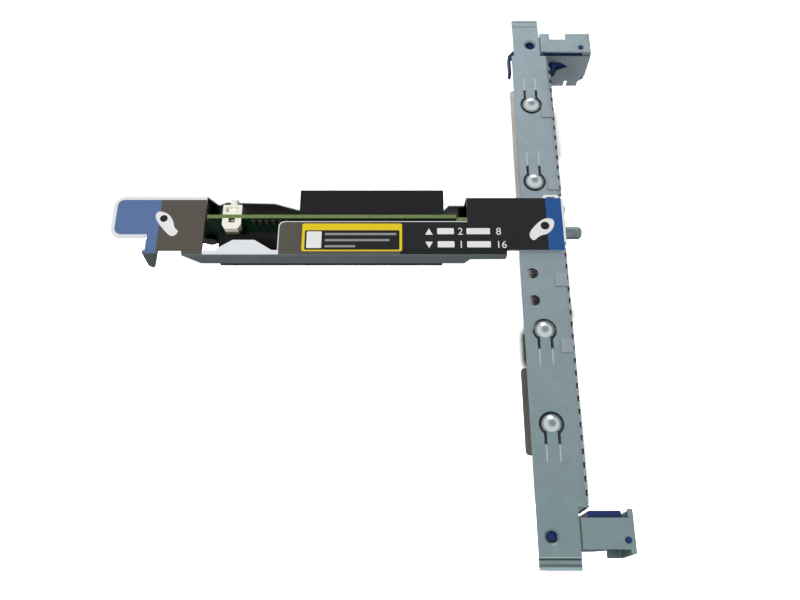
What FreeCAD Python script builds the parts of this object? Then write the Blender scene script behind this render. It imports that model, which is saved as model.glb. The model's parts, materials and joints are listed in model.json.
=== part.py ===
"""Riser card in its sheet-metal cage, for a flat rack server.

+X points to the server's rear, +Z up. The origin is the middle of the riser board's card edge, at
the bottom of its contacts, in the board's middle plane. Lengths are millimetres.
"""

import FreeCAD, Part
import os
import re
import Sketcher

# Driving sizes: alias, value, meaning
SIZES = [
    ("sheet", 1.0, "thickness of the folded steel sheet"),
    ("bend", 0.6, "inner radius of every fold"),
    ("play", 0.3, "clearance between parts that don't touch"),
    ("run_fit", 0.05, "radial clearance of a lever's pivot in its hole"),
    ("top_height", 31.0, "arm's top face above the card edge"),
    ("rear_wall", 87.7, "rear wall's outer face behind the card edge's middle"),
    ("strip_width", 17.3, "rear bracket's top plate, front to rear"),
    ("high_front", 2.0, "top plate's front edge set back on the short socket's side"),
    ("high_end_length", 19.2, "top plate past the rear wall on the short socket's side"),
    ("low_end_length", 20.0, "top plate past the rear wall on the long socket's side"),
    ("wall_height", 19.0, "height of the rear wall"),
    ("window_low", 2.5, "card windows above the rear wall's bottom edge"),
    ("window_height", 11.5, "height of a card window"),
    ("short_window", 62.0, "length of the short card's window"),
    ("long_window", 96.0, "length of the long card's window"),
    ("short_window_start", 11.5, "short window from the board"),
    ("long_window_start", 12.0, "long window from the board"),
    ("high_wall_margin", 4.1, "rear wall past the short window"),
    ("low_wall_margin", 1.8, "rear wall past the long window"),
    ("bead", 0.7, "radius of the bead at the rear wall's end"),
    ("end_setback", 3.3, "top plate's end parts set back from the rear wall's face"),
    ("end_front", 3.0, "top plate's upper end set back at its front edge"),
    ("joggle_length", 3.5, "stepped lip at each end of the top plate"),
    ("joggle_depth", 0.5, "step of those lips"),
    ("foot_start", 55.3, "bottom tab's near end from the board"),
    ("foot_length", 33.2, "length of the bottom tab"),
    ("foot_round", 1.5, "corner radius of the bottom tabs"),
    ("foot_inset", 0.6, "bottom tab set back from the top plate's front edge"),
    ("high_foot_inset", 3.1, "short side's bottom tab set back from the top plate's front edge"),
    ("high_foot_margin", 0.3, "short side's bottom tab inside the window's ends"),
    ("tongue_disc", 3.45, "radius of a spring tongue's disc"),
    ("tongue_slot", 1.0, "width of the slot round a spring tongue"),
    ("tongue_neck", 3.7, "width of a spring tongue's neck"),
    ("tongue_leg", 3.8, "length of the slots beside the neck"),
    ("tongue_inset", 7.3, "spring tongues' line behind the strip's front edge"),
    ("dome_radius", 3.2, "radius of a tongue's pressed dome"),
    ("dome_height", 1.6, "height of a tongue's pressed dome"),
    ("tongue_a_shift", 1.4, "first tongue behind the tongues' line"),
    ("tongue_b_shift", 0.4, "second tongue behind the tongues' line"),
    ("tongue_a", 52.6, "first tongue from the board, short side"),
    ("tongue_b", 16.1, "second tongue from the board, short side"),
    ("tongue_c", 46.6, "third tongue from the board, long side"),
    ("tongue_d", 81.4, "fourth tongue from the board, long side"),
    ("bolt_hole", 2.1, "radius of the two bolt holes"),
    ("bolt_inset", 4.4, "bolt holes behind the strip's front edge"),
    ("bolt_start", 23.8, "first bolt hole from the board"),
    ("bolt_pitch", 11.0, "spacing of the two bolt holes"),
    ("end_hole", 1.95, "radius of the hole near each end"),
    ("end_hole_sink", 0.8, "depth of the countersink of those holes"),
    ("high_hole_inset", 3.8, "upper end hole from the end part's rear edge"),
    ("high_hole_place", 6.0, "upper end hole past the rear wall's end"),
    ("low_hole_inset", 4.8, "lower end hole from the strip's front edge"),
    ("low_hole_place", 9.4, "lower end hole past the rear wall's end"),
    ("web_offset", 9.4, "web's outer face from the board's middle"),
    ("web_bottom", 8.0, "web's bottom edge above the card edge"),
    ("lip_offset", 16.2, "lip's outer face from the board's middle"),
    ("lip_height", 8.5, "height of the lip"),
    ("lip_step", 4.8, "height of the lip's rear part"),
    ("lip_front", 58.0, "lip's front end from the middle of the card edge"),
    ("lip_rear", 65.6, "lip's rear end from the middle of the card edge"),
    ("plate_front", 71.6, "front plate's front edge"),
    ("gap_front", 50.1, "front end of the opening over the board"),
    ("gap_rear", 21.6, "rear end of the opening over the board"),
    ("shoulder", 50.9, "where the rear plate becomes wide"),
    ("narrow_edge", 2.3, "rear plate's narrow edge from the board's middle"),
    ("plate_round", 2.3, "corner radius of the narrow plate"),
    ("tab_base", 21.9, "stiffening tab's length at the lip"),
    ("tab_tip", 8.3, "stiffening tab's length at its tip"),
    ("tab_depth", 5.9, "stiffening tab's reach from the lip"),
    ("tab_start", 4.5, "stiffening tab from the opening's front end"),
    ("handle_reach", 14.4, "handle tab in front of the front plate"),
    ("handle_width", 18.0, "width of the handle tab"),
    ("handle_round", 4.2, "corner radius of the handle tab"),
    ("hook_length", 14.0, "height of the bent-down hook"),
    ("hook_width", 6.4, "width of the hook at its root"),
    ("handle_relief", 0.8, "radius of the relief at the handle's inner corner"),
    ("bend_rear", 67.6, "rear end of the fold between wide plate and web"),
    ("flange_bend", 0.2, "inner radius of the rear flange's fold"),
    ("ear_length", 6.2, "lug on the wide plate's far edge"),
    ("ear_reach", 1.5, "reach of that lug"),
    ("ear_slot", 0.7, "width of the slot in that lug"),
    ("board_thick", 1.6, "thickness of the riser board"),
    ("board_front_margin", 9.0, "riser board in front of the long socket"),
    ("board_rear_margin", 14.0, "riser board behind the sockets"),
    ("board_bottom", 9.0, "board's bottom edge beside the card edge"),
    ("board_top_gap", 0.4, "board's top edge below the arm's top face"),
    ("board_step", 2.2, "step in the board's top corners"),
    ("edge_length", 84.0, "length of the card edge"),
    ("key_width", 1.9, "width of the key notch in the card edge"),
    ("key_place", 26.0, "key notch from the middle of the card edge"),
    ("key_depth", 8.0, "depth of the key notch"),
    ("socket_reach", 11.25, "socket's height above the board"),
    ("socket_thick", 7.5, "thickness of a socket"),
    ("socket_rear", 42.0, "rear end of both sockets"),
    ("short_socket", 56.0, "length of the short socket"),
    ("long_socket", 89.0, "length of the long socket"),
    ("short_socket_drop", 1.0, "short socket's top below the arm's top face"),
    ("long_socket_drop", 11.75, "long socket's top below the arm's top face"),
    ("card_slot", 1.8, "width of a socket's card slot"),
    ("slot_depth", 8.5, "depth of a socket's card slot"),
    ("socket_end", 2.6, "solid end of a socket"),
    ("socket_key", 11.6, "card key from the slot's rear end"),
    ("tail_pitch", 2.0, "spacing of the solder tails"),
    ("tail_size", 0.6, "width of a solder tail"),
    ("tail_length", 1.6, "solder tail's length past the board"),
    ("tail_row", 1.3, "tail rows from the socket's middle plane"),
    ("contact_pitch", 2.0, "spacing of the edge contacts"),
    ("contact_width", 1.3, "width of an edge contact"),
    ("contact_length", 6.0, "length of an edge contact"),
    ("contact_thick", 0.08, "thickness of an edge contact"),
    ("chip_length", 1.6, "length of a board capacitor"),
    ("chip_width", 0.9, "width of a board capacitor"),
    ("chip_height", 0.8, "height of a board capacitor"),
    ("chip_pitch", 2.56, "spacing of the capacitors along the board"),
    ("chip_row", 2.16, "spacing of the two rows of capacitors"),
    ("chip_drop", 1.8, "upper row of capacitors below the board's top edge"),
    ("clip_length", 7.3, "nylon clip along the board"),
    ("clip_front", 43.5, "nylon clip's front end"),
    ("clip_reach_low", 5.4, "nylon clip's reach on the long socket's side"),
    ("clip_reach_high", 5.0, "nylon clip's reach on the short socket's side"),
    ("clip_height", 4.4, "height of the nylon clip"),
    ("clip_stem", 1.6, "radius of the clip's stem"),
    ("standoff_radius", 2.75, "radius of a board standoff"),
    ("screw_radius", 1.45, "radius of a board screw's shank"),
    ("screw_head", 2.7, "radius of a board screw's head"),
    ("screw_head_height", 1.8, "height of a board screw's head"),
    ("fixing_height", 14.0, "board fixings above the card edge"),
    ("fixing_inset", 4.5, "board fixings from the board's ends"),
    ("film", 0.2, "thickness of the printed films"),
    ("film_margin", 1.6, "bare margin round the printed films"),
    ("pin_radius", 2.6, "radius of the locating pin"),
    ("pin_shank", 1.9, "radius of the locating pin's riveted shank"),
    ("pin_length", 8.0, "locating pin's reach behind the arm's rear flange"),
    ("pin_point", 0.9, "chamfer of the locating pin"),
    ("pin_drop", 10.0, "locating pin below the arm's top face"),
    ("pin_shift", 2.2, "locating pin from the board's middle"),
    ("rivet_radius", 1.2, "radius of a rivet's shank"),
    ("rivet_head", 2.1, "radius of a rivet's head"),
    ("rivet_height", 0.9, "height of a rivet's head"),
    ("rivet_side", 5.2, "rivets from the board's middle plane"),
    ("rivet_spread", 4.8, "rivets above and below the locating pin's height"),
    ("finger_pitch", 4.7, "spacing of the spring strip's fingers"),
    ("finger_gap", 0.9, "gap between two fingers"),
    ("finger_bow", 1.3, "fingers' reach behind the rear wall"),
    ("finger_thick", 0.25, "thickness of the spring strip"),
    ("finger_height", 3.2, "height of the spring strip"),
    ("clip_tab_length", 5.4, "spring strip's clip along the strip"),
    ("high_clip_near", 14.9, "upper strip's near clip from the board"),
    ("high_clip_far", 49.0, "upper strip's far clip from the board"),
    ("low_clip_near", 26.4, "lower strip's near clip from the board"),
    ("low_clip_far", 52.6, "lower strip's far clip from the board"),
    ("clip_tab_reach", 3.0, "spring strip's clip over the top plate"),
    ("high_box_length", 19.0, "upper housing's reach behind the rear wall"),
    ("high_box_gap", 2.2, "upper housing's top plate past the rear wall's end"),
    ("high_box_fin", 1.8, "upper housing's rear side past the top plate's edge"),
    ("high_box_width", 9.6, "width of the upper housing's top plate"),
    ("low_box_length", 15.3, "lower housing's reach behind the rear wall"),
    ("low_box_gap", 3.3, "lower housing's top plate past the rear wall's end"),
    ("low_box_width", 10.1, "width of the lower housing's top plate"),
    ("box_front", 2.7, "housings' top plates reach this far before the rear wall's face"),
    ("box_tongue", 8.0, "housing's tongue under the strip"),
    ("box_floor", 6.0, "width of the upper housing's bottom plate"),
    ("seat_gap", 1.5, "seat wall's top edge below the housing's top plate"),
    ("seat_window", 8.4, "length of the pointed window in the seat wall"),
    ("seat_window_height", 9.4, "height of the window in the seat wall"),
    ("seat_tab", 3.5, "length of the tabs under the seat wall"),
    ("notch_length", 7.0, "notch in the upper housing's top plate"),
    ("notch_depth", 3.0, "depth of that notch"),
    ("pivot_radius", 1.1, "radius of a lever's pivot"),
    ("pivot_inset", 4.6, "pivot before the housing's rear face"),
    ("high_pivot_inset", 2.3, "upper pivot from the top plate's near edge"),
    ("low_pivot_inset", 7.2, "lower pivot from the top plate's near edge"),
    ("knuckle", 1.5, "radius of a lever's knuckle"),
    ("lever_arm", 2.6, "thickness of a lever's front arm"),
    ("lever_front", 14.1, "lever's front end before the rear wall's face"),
    ("lever_body", 5.6, "width of the upper lever's body"),
    ("nose_reach", 1.6, "lever nose's reach through the seat wall"),
    ("grip_length", 9.5, "length of the finger grip at the upper lever's front end"),
    ("grip_thick", 1.1, "thickness of the finger grip"),
    ("grip_out", 2.3, "finger grip's step before the front arm"),
    ("grip_height", 4.0, "height of the levers' front arms and finger grip"),
    ("low_nose_reach", 2.6, "lower lever's nose past the top plate's near edge"),
]

# Places worked out from the sizes
PLACES = {
    "wall_high_end": "short_window_start + short_window + high_wall_margin",
    "wall_low_end": "long_window_start + long_window + low_wall_margin",
    "strip_high_end": "wall_high_end + high_end_length",
    "strip_low_end": "wall_low_end + low_end_length",
    "high_box_start": "wall_high_end + high_box_gap",
    "low_box_start": "wall_low_end + low_box_gap",
    "flange_face": "rear_wall + sheet",
    "flange_low": "sheet - long_window_start",
    "flange_high": "web_inner - bend",
    "board_front": "long_socket - socket_rear + board_front_margin",
    "board_rear": "socket_rear + board_rear_margin",
    "strip_top": "top_height - sheet",
    "strip_under": "strip_top - sheet",
    "strip_front": "rear_wall - strip_width",
    "wall_inner": "rear_wall - sheet",
    "wall_bottom": "strip_top - wall_height",
    "window_bottom": "wall_bottom + window_low",
    "window_top": "window_bottom + window_height",
    "fold": "bend + sheet",
    "flange_under": "top_height - sheet",
    "web_inner": "web_offset - sheet",
    "lip_inner": "sheet - lip_offset",
    "lip_bottom": "top_height - lip_height",
    "plate_edge": "lip_inner + bend",
    "board_face": "board_thick / 2",
    "board_top": "top_height - board_top_gap",
    "short_socket_top": "top_height - short_socket_drop",
    "long_socket_top": "top_height - long_socket_drop",
    "short_socket_middle": "short_socket_top - socket_thick / 2",
    "long_socket_middle": "long_socket_top - socket_thick / 2",
    "socket_face": "board_face + socket_reach",
    "clip_middle": "clip_length / 2 - clip_front",
    "pin_height": "top_height - pin_drop",
    "tongue_line": "strip_front + tongue_inset",
    "dome_ball": "(dome_radius ^ 2 + dome_height ^ 2) / (2 * dome_height)",
    "dome_centre": "strip_top + dome_height - dome_ball",
    "box_bottom": "wall_bottom",
    "box_floor_top": "box_bottom + sheet",
    "high_box_rear": "rear_wall + high_box_length",
    "low_box_rear": "rear_wall + low_box_length",
    "high_pivot_x": "high_box_rear - pivot_inset",
    "high_pivot_y": "high_box_start + high_pivot_inset",
    "low_pivot_x": "low_box_rear - sheet - knuckle - play",
    "low_pivot_y": "0 - low_box_start - low_pivot_inset",
    "seat_outer": "high_box_start - 0.5 * sheet",
    "seat_inner": "seat_outer + 0.8 * sheet",
    "lever_low": "box_floor_top + play",
    "lever_high": "strip_under - play",
    "arm_high": "strip_under - 2 * sheet - play",
    "arm_low": "arm_high - grip_height",
    "lever_tip": "rear_wall - lever_front",
    "high_hole_x": "rear_wall - end_setback - high_hole_inset",
    "high_hole_y": "wall_high_end + high_hole_place",
    "low_hole_x": "strip_front + low_hole_inset",
    "low_hole_y": "0 - wall_low_end - low_hole_place",
    "taper_run": "clip_reach_low / 3",
}

doc = FreeCAD.newDocument("RiserCard")
sheet = doc.addObject("Spreadsheet::Sheet", "Sizes")
for row, (alias, number, meaning) in enumerate(SIZES, start=1):
    sheet.set(f"A{row}", meaning)
    sheet.set(f"B{row}", str(number))
    sheet.setAlias(f"B{row}", alias)
doc.recompute()
ALIASES = {alias for alias, number, meaning in SIZES}
sub_parts = []


def bound(formula):
    """A formula in the names above, written as an expression on the spreadsheet's cells."""
    def cell(match):
        word = match.group(0)
        if word in PLACES:
            return "(" + bound(PLACES[word]) + ")"
        return "Sizes." + word if word in ALIASES else word
    return re.sub(r"[a-z_]+", cell, str(formula))


def value(formula):
    """The number that a formula gives now."""
    return float(sheet.evalExpression(bound(formula)))


def bind(item, **formulas):
    """Binds properties of an object to formulas; x, y and z are its place."""
    for name, formula in formulas.items():
        path = f".Placement.Base.{name}" if name in ("x", "y", "z") else name
        item.setExpression(path, bound(formula))
    return item


# Sketches and features
PLANES = {"XY": 1, "YZ": 1, "XZ": -1}


def outline(body, name, plane, place, corners):
    """A closed sketch through corners (u, v[, radius]) on a plane at a place along its axis."""
    origin = {feature.Role: feature for feature in body.Origin.OriginFeatures}
    sketch = body.newObject("Sketcher::SketchObject", name)
    sketch.AttachmentSupport = [(origin[plane + "_Plane"], "")]
    sketch.MapMode = "FlatFace"
    side = "" if PLANES[plane] > 0 else "-1 * "
    sketch.setExpression(".AttachmentOffset.Base.z", f"{side}({bound(place)})")
    points = [FreeCAD.Vector(value(corner[0]), value(corner[1]), 0) for corner in corners]
    count = len(points)
    for index in range(count):
        sketch.addGeometry(Part.LineSegment(points[index], points[(index + 1) % count]), False)
    for index in range(count):
        sketch.addConstraint(Sketcher.Constraint("Coincident", index, 2, (index + 1) % count, 1))
    for index, corner in enumerate(corners):
        for kind, formula, number in (("DistanceX", corner[0], points[index].x),
                                      ("DistanceY", corner[1], points[index].y)):
            fixed = sketch.addConstraint(Sketcher.Constraint(kind, -1, 1, index, 1, number))
            sketch.setExpression(f"Constraints[{fixed}]", bound(formula))
    return sketch


def corner_edges(shape, plane, u, v):
    """Names of the straight edges that stand on a plane at one corner of its outline."""
    names = []
    for index, edge in enumerate(shape.Edges, start=1):
        spots = []
        for vertex in edge.Vertexes:
            x, y, z = vertex.Point
            spots.append({"XY": (x, y), "XZ": (x, z), "YZ": (y, z)}[plane])
        on_corner = all(abs(spot[0] - u) < 1e-4 and abs(spot[1] - v) < 1e-4 for spot in spots)
        if len(spots) == 2 and on_corner:
            names.append(f"Edge{index}")
    return names


def round_corners(body, name, plane, corners, feature):
    """Rounds the edges at those corners that give a radius."""
    radii = sorted({corner[2] for corner in corners if len(corner) > 2})
    for number, radius in enumerate(radii):
        doc.recompute()
        edges = []
        for corner in corners:
            if len(corner) > 2 and corner[2] == radius:
                edges += corner_edges(feature.Shape, plane, value(corner[0]), value(corner[1]))
        rounding = body.newObject("PartDesign::Fillet", f"{name}_round_{number}")
        rounding.Base = (feature, edges)
        bind(rounding, Radius=radius)
        feature = rounding
    return feature


def add(body, name, plane, start, end, corners):
    """Pads an outline between two places along its plane's axis."""
    base = start if PLANES[plane] > 0 else end
    pad = body.newObject("PartDesign::Pad", name)
    pad.Profile = outline(body, name + "_outline", plane, base, corners)
    bind(pad, Length=f"({end}) - ({start})")
    return round_corners(body, name, plane, corners, pad)


def cut(body, name, plane, start, end, corners):
    """Cuts an outline out between two places along its plane's axis."""
    base = end if PLANES[plane] > 0 else start
    pocket = body.newObject("PartDesign::Pocket", name)
    pocket.Profile = outline(body, name + "_outline", plane, base, corners)
    bind(pocket, Length=f"({end}) - ({start})")
    return round_corners(body, name, plane, corners, pocket)


def rectangle(u_low, v_low, u_high, v_high, radius=None):
    """Corners of a rectangle, all with one radius if that is given."""
    tail = () if radius is None else (radius,)
    return [(u_low, v_low, *tail), (u_high, v_low, *tail),
            (u_high, v_high, *tail), (u_low, v_high, *tail)]


def new_body(name):
    """A body that becomes one sub-part."""
    return doc.addObject("PartDesign::Body", name)


def box(name, x_low, y_low, z_low, x_high, y_high, z_high):
    """A box between two corners."""
    item = doc.addObject("Part::Box", name)
    return bind(item, x=x_low, y=y_low, z=z_low, Length=f"({x_high}) - ({x_low})",
                Width=f"({y_high}) - ({y_low})", Height=f"({z_high}) - ({z_low})")


TURNS = {
    "X": FreeCAD.Rotation(FreeCAD.Vector(0, 1, 0), 90),
    "Y": FreeCAD.Rotation(FreeCAD.Vector(1, 0, 0), -90),
    "Z": FreeCAD.Rotation(),
}


def cylinder(name, axis, x, y, z, radius, length):
    """A cylinder that starts at a point and runs along an axis."""
    item = doc.addObject("Part::Cylinder", name)
    item.Placement = FreeCAD.Placement(FreeCAD.Vector(), TURNS[axis])
    return bind(item, x=x, y=y, z=z, Radius=radius, Height=length)


def cone(name, x, y, z, low_radius, high_radius, height):
    """A cone or its stump that stands on a point."""
    item = doc.addObject("Part::Cone", name)
    return bind(item, x=x, y=y, z=z, Radius1=low_radius, Radius2=high_radius, Height=height)


def ball(name, x, y, z, radius):
    """A sphere about a point."""
    return bind(doc.addObject("Part::Sphere", name), x=x, y=y, z=z, Radius=radius)


def less(name, base, tools):
    """A base with tools cut away."""
    item = doc.addObject("Part::Cut", name)
    item.Base = base
    item.Tool = tools[0] if len(tools) == 1 else join(name + "_tools", tools)
    return item


def join(name, pieces):
    """Pieces fused to one solid."""
    item = doc.addObject("Part::MultiFuse", name)
    item.Shapes = pieces
    item.Refine = True
    return item


def shared(name, first, second):
    """What two pieces share."""
    item = doc.addObject("Part::Common", name)
    item.Base = first
    item.Tool = second
    return item


def group(name, shapes):
    """Like pieces as separate solids of one sub-part."""
    item = doc.addObject("Part::Feature", name)
    item.Shape = Part.makeCompound(shapes)
    return item


def hand_in(item, label):
    """Names a sub-part after its file."""
    item.Label = label
    sub_parts.append(item)


def make_arm_bracket():
    """Folded arm: web, top plates, handle tab, lip, stiffening tab, hook and rear flange."""
    body = new_body("ArmBracket")
    add(body, "channel", "YZ", "0 - plate_front", "flange_face - fold", [
        ("web_offset", "web_bottom"),
        ("web_offset", "top_height", "fold"),
        ("0 - lip_offset", "top_height", "fold"),
        ("0 - lip_offset", "lip_bottom"),
        ("lip_inner", "lip_bottom"),
        ("lip_inner", "flange_under", "bend"),
        ("web_inner", "flange_under", "bend"),
        ("web_inner", "web_bottom"),
    ])
    tab_root = "lip_inner + bend"
    tab_tip = "tab_depth - lip_offset"
    tab_front = "0 - gap_front + tab_start"
    tab_slant = "(tab_base - tab_tip) / 2"
    cut(body, "board_opening", "XY", "flange_under - bend", "top_height", [
        ("0 - gap_front", "web_offset + sheet"),
        ("0 - gap_front", tab_root),
        (tab_front, tab_root),
        (f"{tab_front} + {tab_slant}", tab_tip, "plate_round / 2"),
        (f"{tab_front} + tab_base - {tab_slant}", tab_tip, "plate_round / 2"),
        (f"{tab_front} + tab_base", tab_root),
        ("0 - gap_rear", tab_root),
        ("0 - gap_rear", "0 - narrow_edge", "plate_round"),
        ("shoulder", "0 - narrow_edge"),
        ("shoulder", "web_offset + sheet"),
    ])
    socket_front = "socket_rear - short_socket"
    notch_floor = "short_socket_top - socket_thick - 3 * sheet"
    cut(body, "web_top", "XZ", "web_inner - bend", "web_offset", [
        ("0 - gap_front", "top_height + sheet"),
        ("0 - gap_front", "top_height - fold"),
        ("3 * sheet - gap_front", "top_height - 7.7 * sheet"),
        ("6.4 * sheet - gap_front", "top_height - 5.5 * sheet"),
        (f"{socket_front} - 10.7 * sheet", "top_height - 6.3 * sheet"),
        (f"{socket_front} - 2 * sheet", notch_floor),
        ("socket_rear + sheet", notch_floor),
        ("socket_rear + 2.5 * sheet", "top_height - 8 * sheet"),
        ("shoulder - 0.4 * sheet", "top_height - 8 * sheet"),
        ("shoulder", "top_height - fold"),
        ("shoulder", "top_height + sheet"),
    ])
    cut(body, "web_rear", "XZ", "web_inner - bend", "web_offset", [
        ("bend_rear", "top_height + sheet"),
        ("bend_rear", "strip_under - play"),
        ("wall_inner - bend - play", "strip_under - play"),
        ("wall_inner", "strip_under - bend - play"),
        ("wall_inner", "web_bottom - sheet"),
        ("rear_wall + sheet", "web_bottom - sheet"),
        ("rear_wall + sheet", "top_height + sheet"),
    ])
    lip_slant = "6 * sheet"
    cut(body, "lip_front_end", "XZ", "0 - lip_offset", "plate_edge", [
        ("0 - plate_front - sheet", "top_height + sheet"),
        ("0 - lip_front", "top_height + sheet"),
        ("0 - lip_front", "top_height - fold"),
        (f"{lip_slant} - lip_front", "lip_bottom"),
        (f"{lip_slant} - lip_front", "lip_bottom - sheet"),
        ("0 - plate_front - sheet", "lip_bottom - sheet"),
    ])
    step = "top_height - lip_step"
    cut(body, "lip_rear_end", "XZ", "0 - lip_offset", "plate_edge", [
        ("shoulder - sheet", "lip_bottom - sheet"),
        ("shoulder - sheet", "lip_bottom"),
        ("shoulder + sheet", step),
        ("lip_rear", step, "plate_round / 2"),
        ("lip_rear", "top_height + sheet"),
        ("rear_wall + sheet", "top_height + sheet"),
        ("rear_wall + sheet", "lip_bottom - sheet"),
    ])
    flange = new_body("ArmFlange")
    add(flange, "rear_flange", "XZ", "flange_low", "flange_high", [
        ("rear_wall - fold", "top_height"),
        ("flange_face", "top_height", "sheet + flange_bend"),
        ("flange_face", "wall_bottom + sheet"),
        ("rear_wall", "wall_bottom + sheet"),
        ("rear_wall", "flange_under", "flange_bend"),
        ("rear_wall - fold", "flange_under"),
    ])
    ear_front = "wall_inner - ear_length"
    add(body, "ear", "XY", "flange_under", "top_height", [
        (ear_front, "flange_high - sheet"),
        ("wall_inner", "flange_high - sheet"),
        ("wall_inner", "flange_high + ear_reach", "ear_reach - bend / 2"),
        (ear_front, "flange_high + ear_reach", "ear_reach - bend / 2"),
    ])
    cut(body, "ear_opening", "XY", "flange_under", "top_height", rectangle(
        f"{ear_front} + ear_reach", "flange_high",
        "wall_inner - ear_reach", "flange_high + ear_slot"))
    handle_low = "web_offset - fold / 2 - handle_width"
    handle_high = "web_offset - fold / 2"
    handle_front = "0 - plate_front - handle_reach"
    add(body, "handle", "XY", "flange_under", "top_height", [
        (handle_front, handle_low, "handle_round"),
        (handle_front, handle_high, "handle_round"),
        ("0 - plate_front", handle_high),
        ("0 - plate_front", "plate_edge"),
        ("0 - plate_front - sheet / 2", "plate_edge"),
        ("0 - plate_front - sheet / 2", handle_low),
    ])
    hook_front = "0 - plate_front - 1.3 * sheet"
    add(body, "hook", "XZ", "plate_edge - sheet", "plate_edge", [
        (hook_front, "top_height"),
        (f"{hook_front} + hook_width", "top_height"),
        (f"{hook_front} + 0.3 * hook_width", "top_height - 0.9 * hook_length"),
        (f"{hook_front} + 0.1 * hook_width", "top_height - hook_length"),
        (f"{hook_front} - 0.1 * hook_width", "top_height - 0.85 * hook_length"),
    ])
    doc.recompute()
    drills = [
        cylinder("PinHoleInFlange", "X", "rear_wall - sheet / 2", "0 - pin_shift", "pin_height",
                 "pin_shank", "2 * sheet"),
        cylinder("HandleRelief", "Z", "0 - plate_front - sheet / 2", handle_low, "flange_under - sheet",
                 "handle_relief", "3 * sheet"),
    ]
    for side in (-1, 1):
        drills.append(cylinder(f"RivetHoleInFlange{side}", "X", "rear_wall - sheet / 2", "rivet_side",
                               f"pin_height + {side} * rivet_spread", "rivet_radius", "2 * sheet"))
    hand_in(less("ArmBracketDrilled", join("ArmBracketWhole", [body, flange]), drills), "arm_bracket")


# Spring tongues: name, line, place along the strip, side to which the neck points
TONGUES = [
    ("A", "tongue_line + tongue_a_shift", "tongue_a", 1),
    ("B", "tongue_line + tongue_b_shift", "tongue_b", 1),
    ("C", "tongue_line", "0 - tongue_c", -1),
    ("D", "tongue_line", "0 - tongue_d", -1),
]


def tongue_slot_tool(name, line, place, side):
    """Horseshoe slot: a ring open at the neck, with two straight legs beside the neck."""
    outer = "tongue_disc + tongue_slot"
    low = "strip_under - sheet"
    deep = "3 * sheet"
    disc = cylinder(f"TongueDisc{name}", "Z", line, place, low, "tongue_disc", deep)
    rim = cylinder(f"TongueOuter{name}", "Z", line, place, low, outer, deep)
    ring = less(f"TongueRing{name}", rim, [disc])
    neck_end = f"{place} + {side} * (tongue_disc + tongue_leg)"
    near, far = (place, neck_end) if side > 0 else (neck_end, place)
    neck = box(f"TongueNeck{name}", f"{line} - tongue_neck / 2", near, low,
               f"{line} + tongue_neck / 2", far, f"{low} + {deep}")
    legs = []
    root = f"{place} + {side} * (tongue_disc - tongue_slot)"
    near, far = (root, neck_end) if side > 0 else (neck_end, root)
    for hand in (-1, 1):
        middle = f"{line} + {hand} * (tongue_neck + tongue_slot) / 2"
        legs.append(box(f"TongueLeg{name}{hand}", f"{middle} - tongue_slot / 2", near, low,
                        f"{middle} + tongue_slot / 2", far, f"{low} + {deep}"))
    return join(f"TongueSlot{name}", [less(f"TongueRingOpen{name}", ring, [neck])] + legs)


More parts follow.
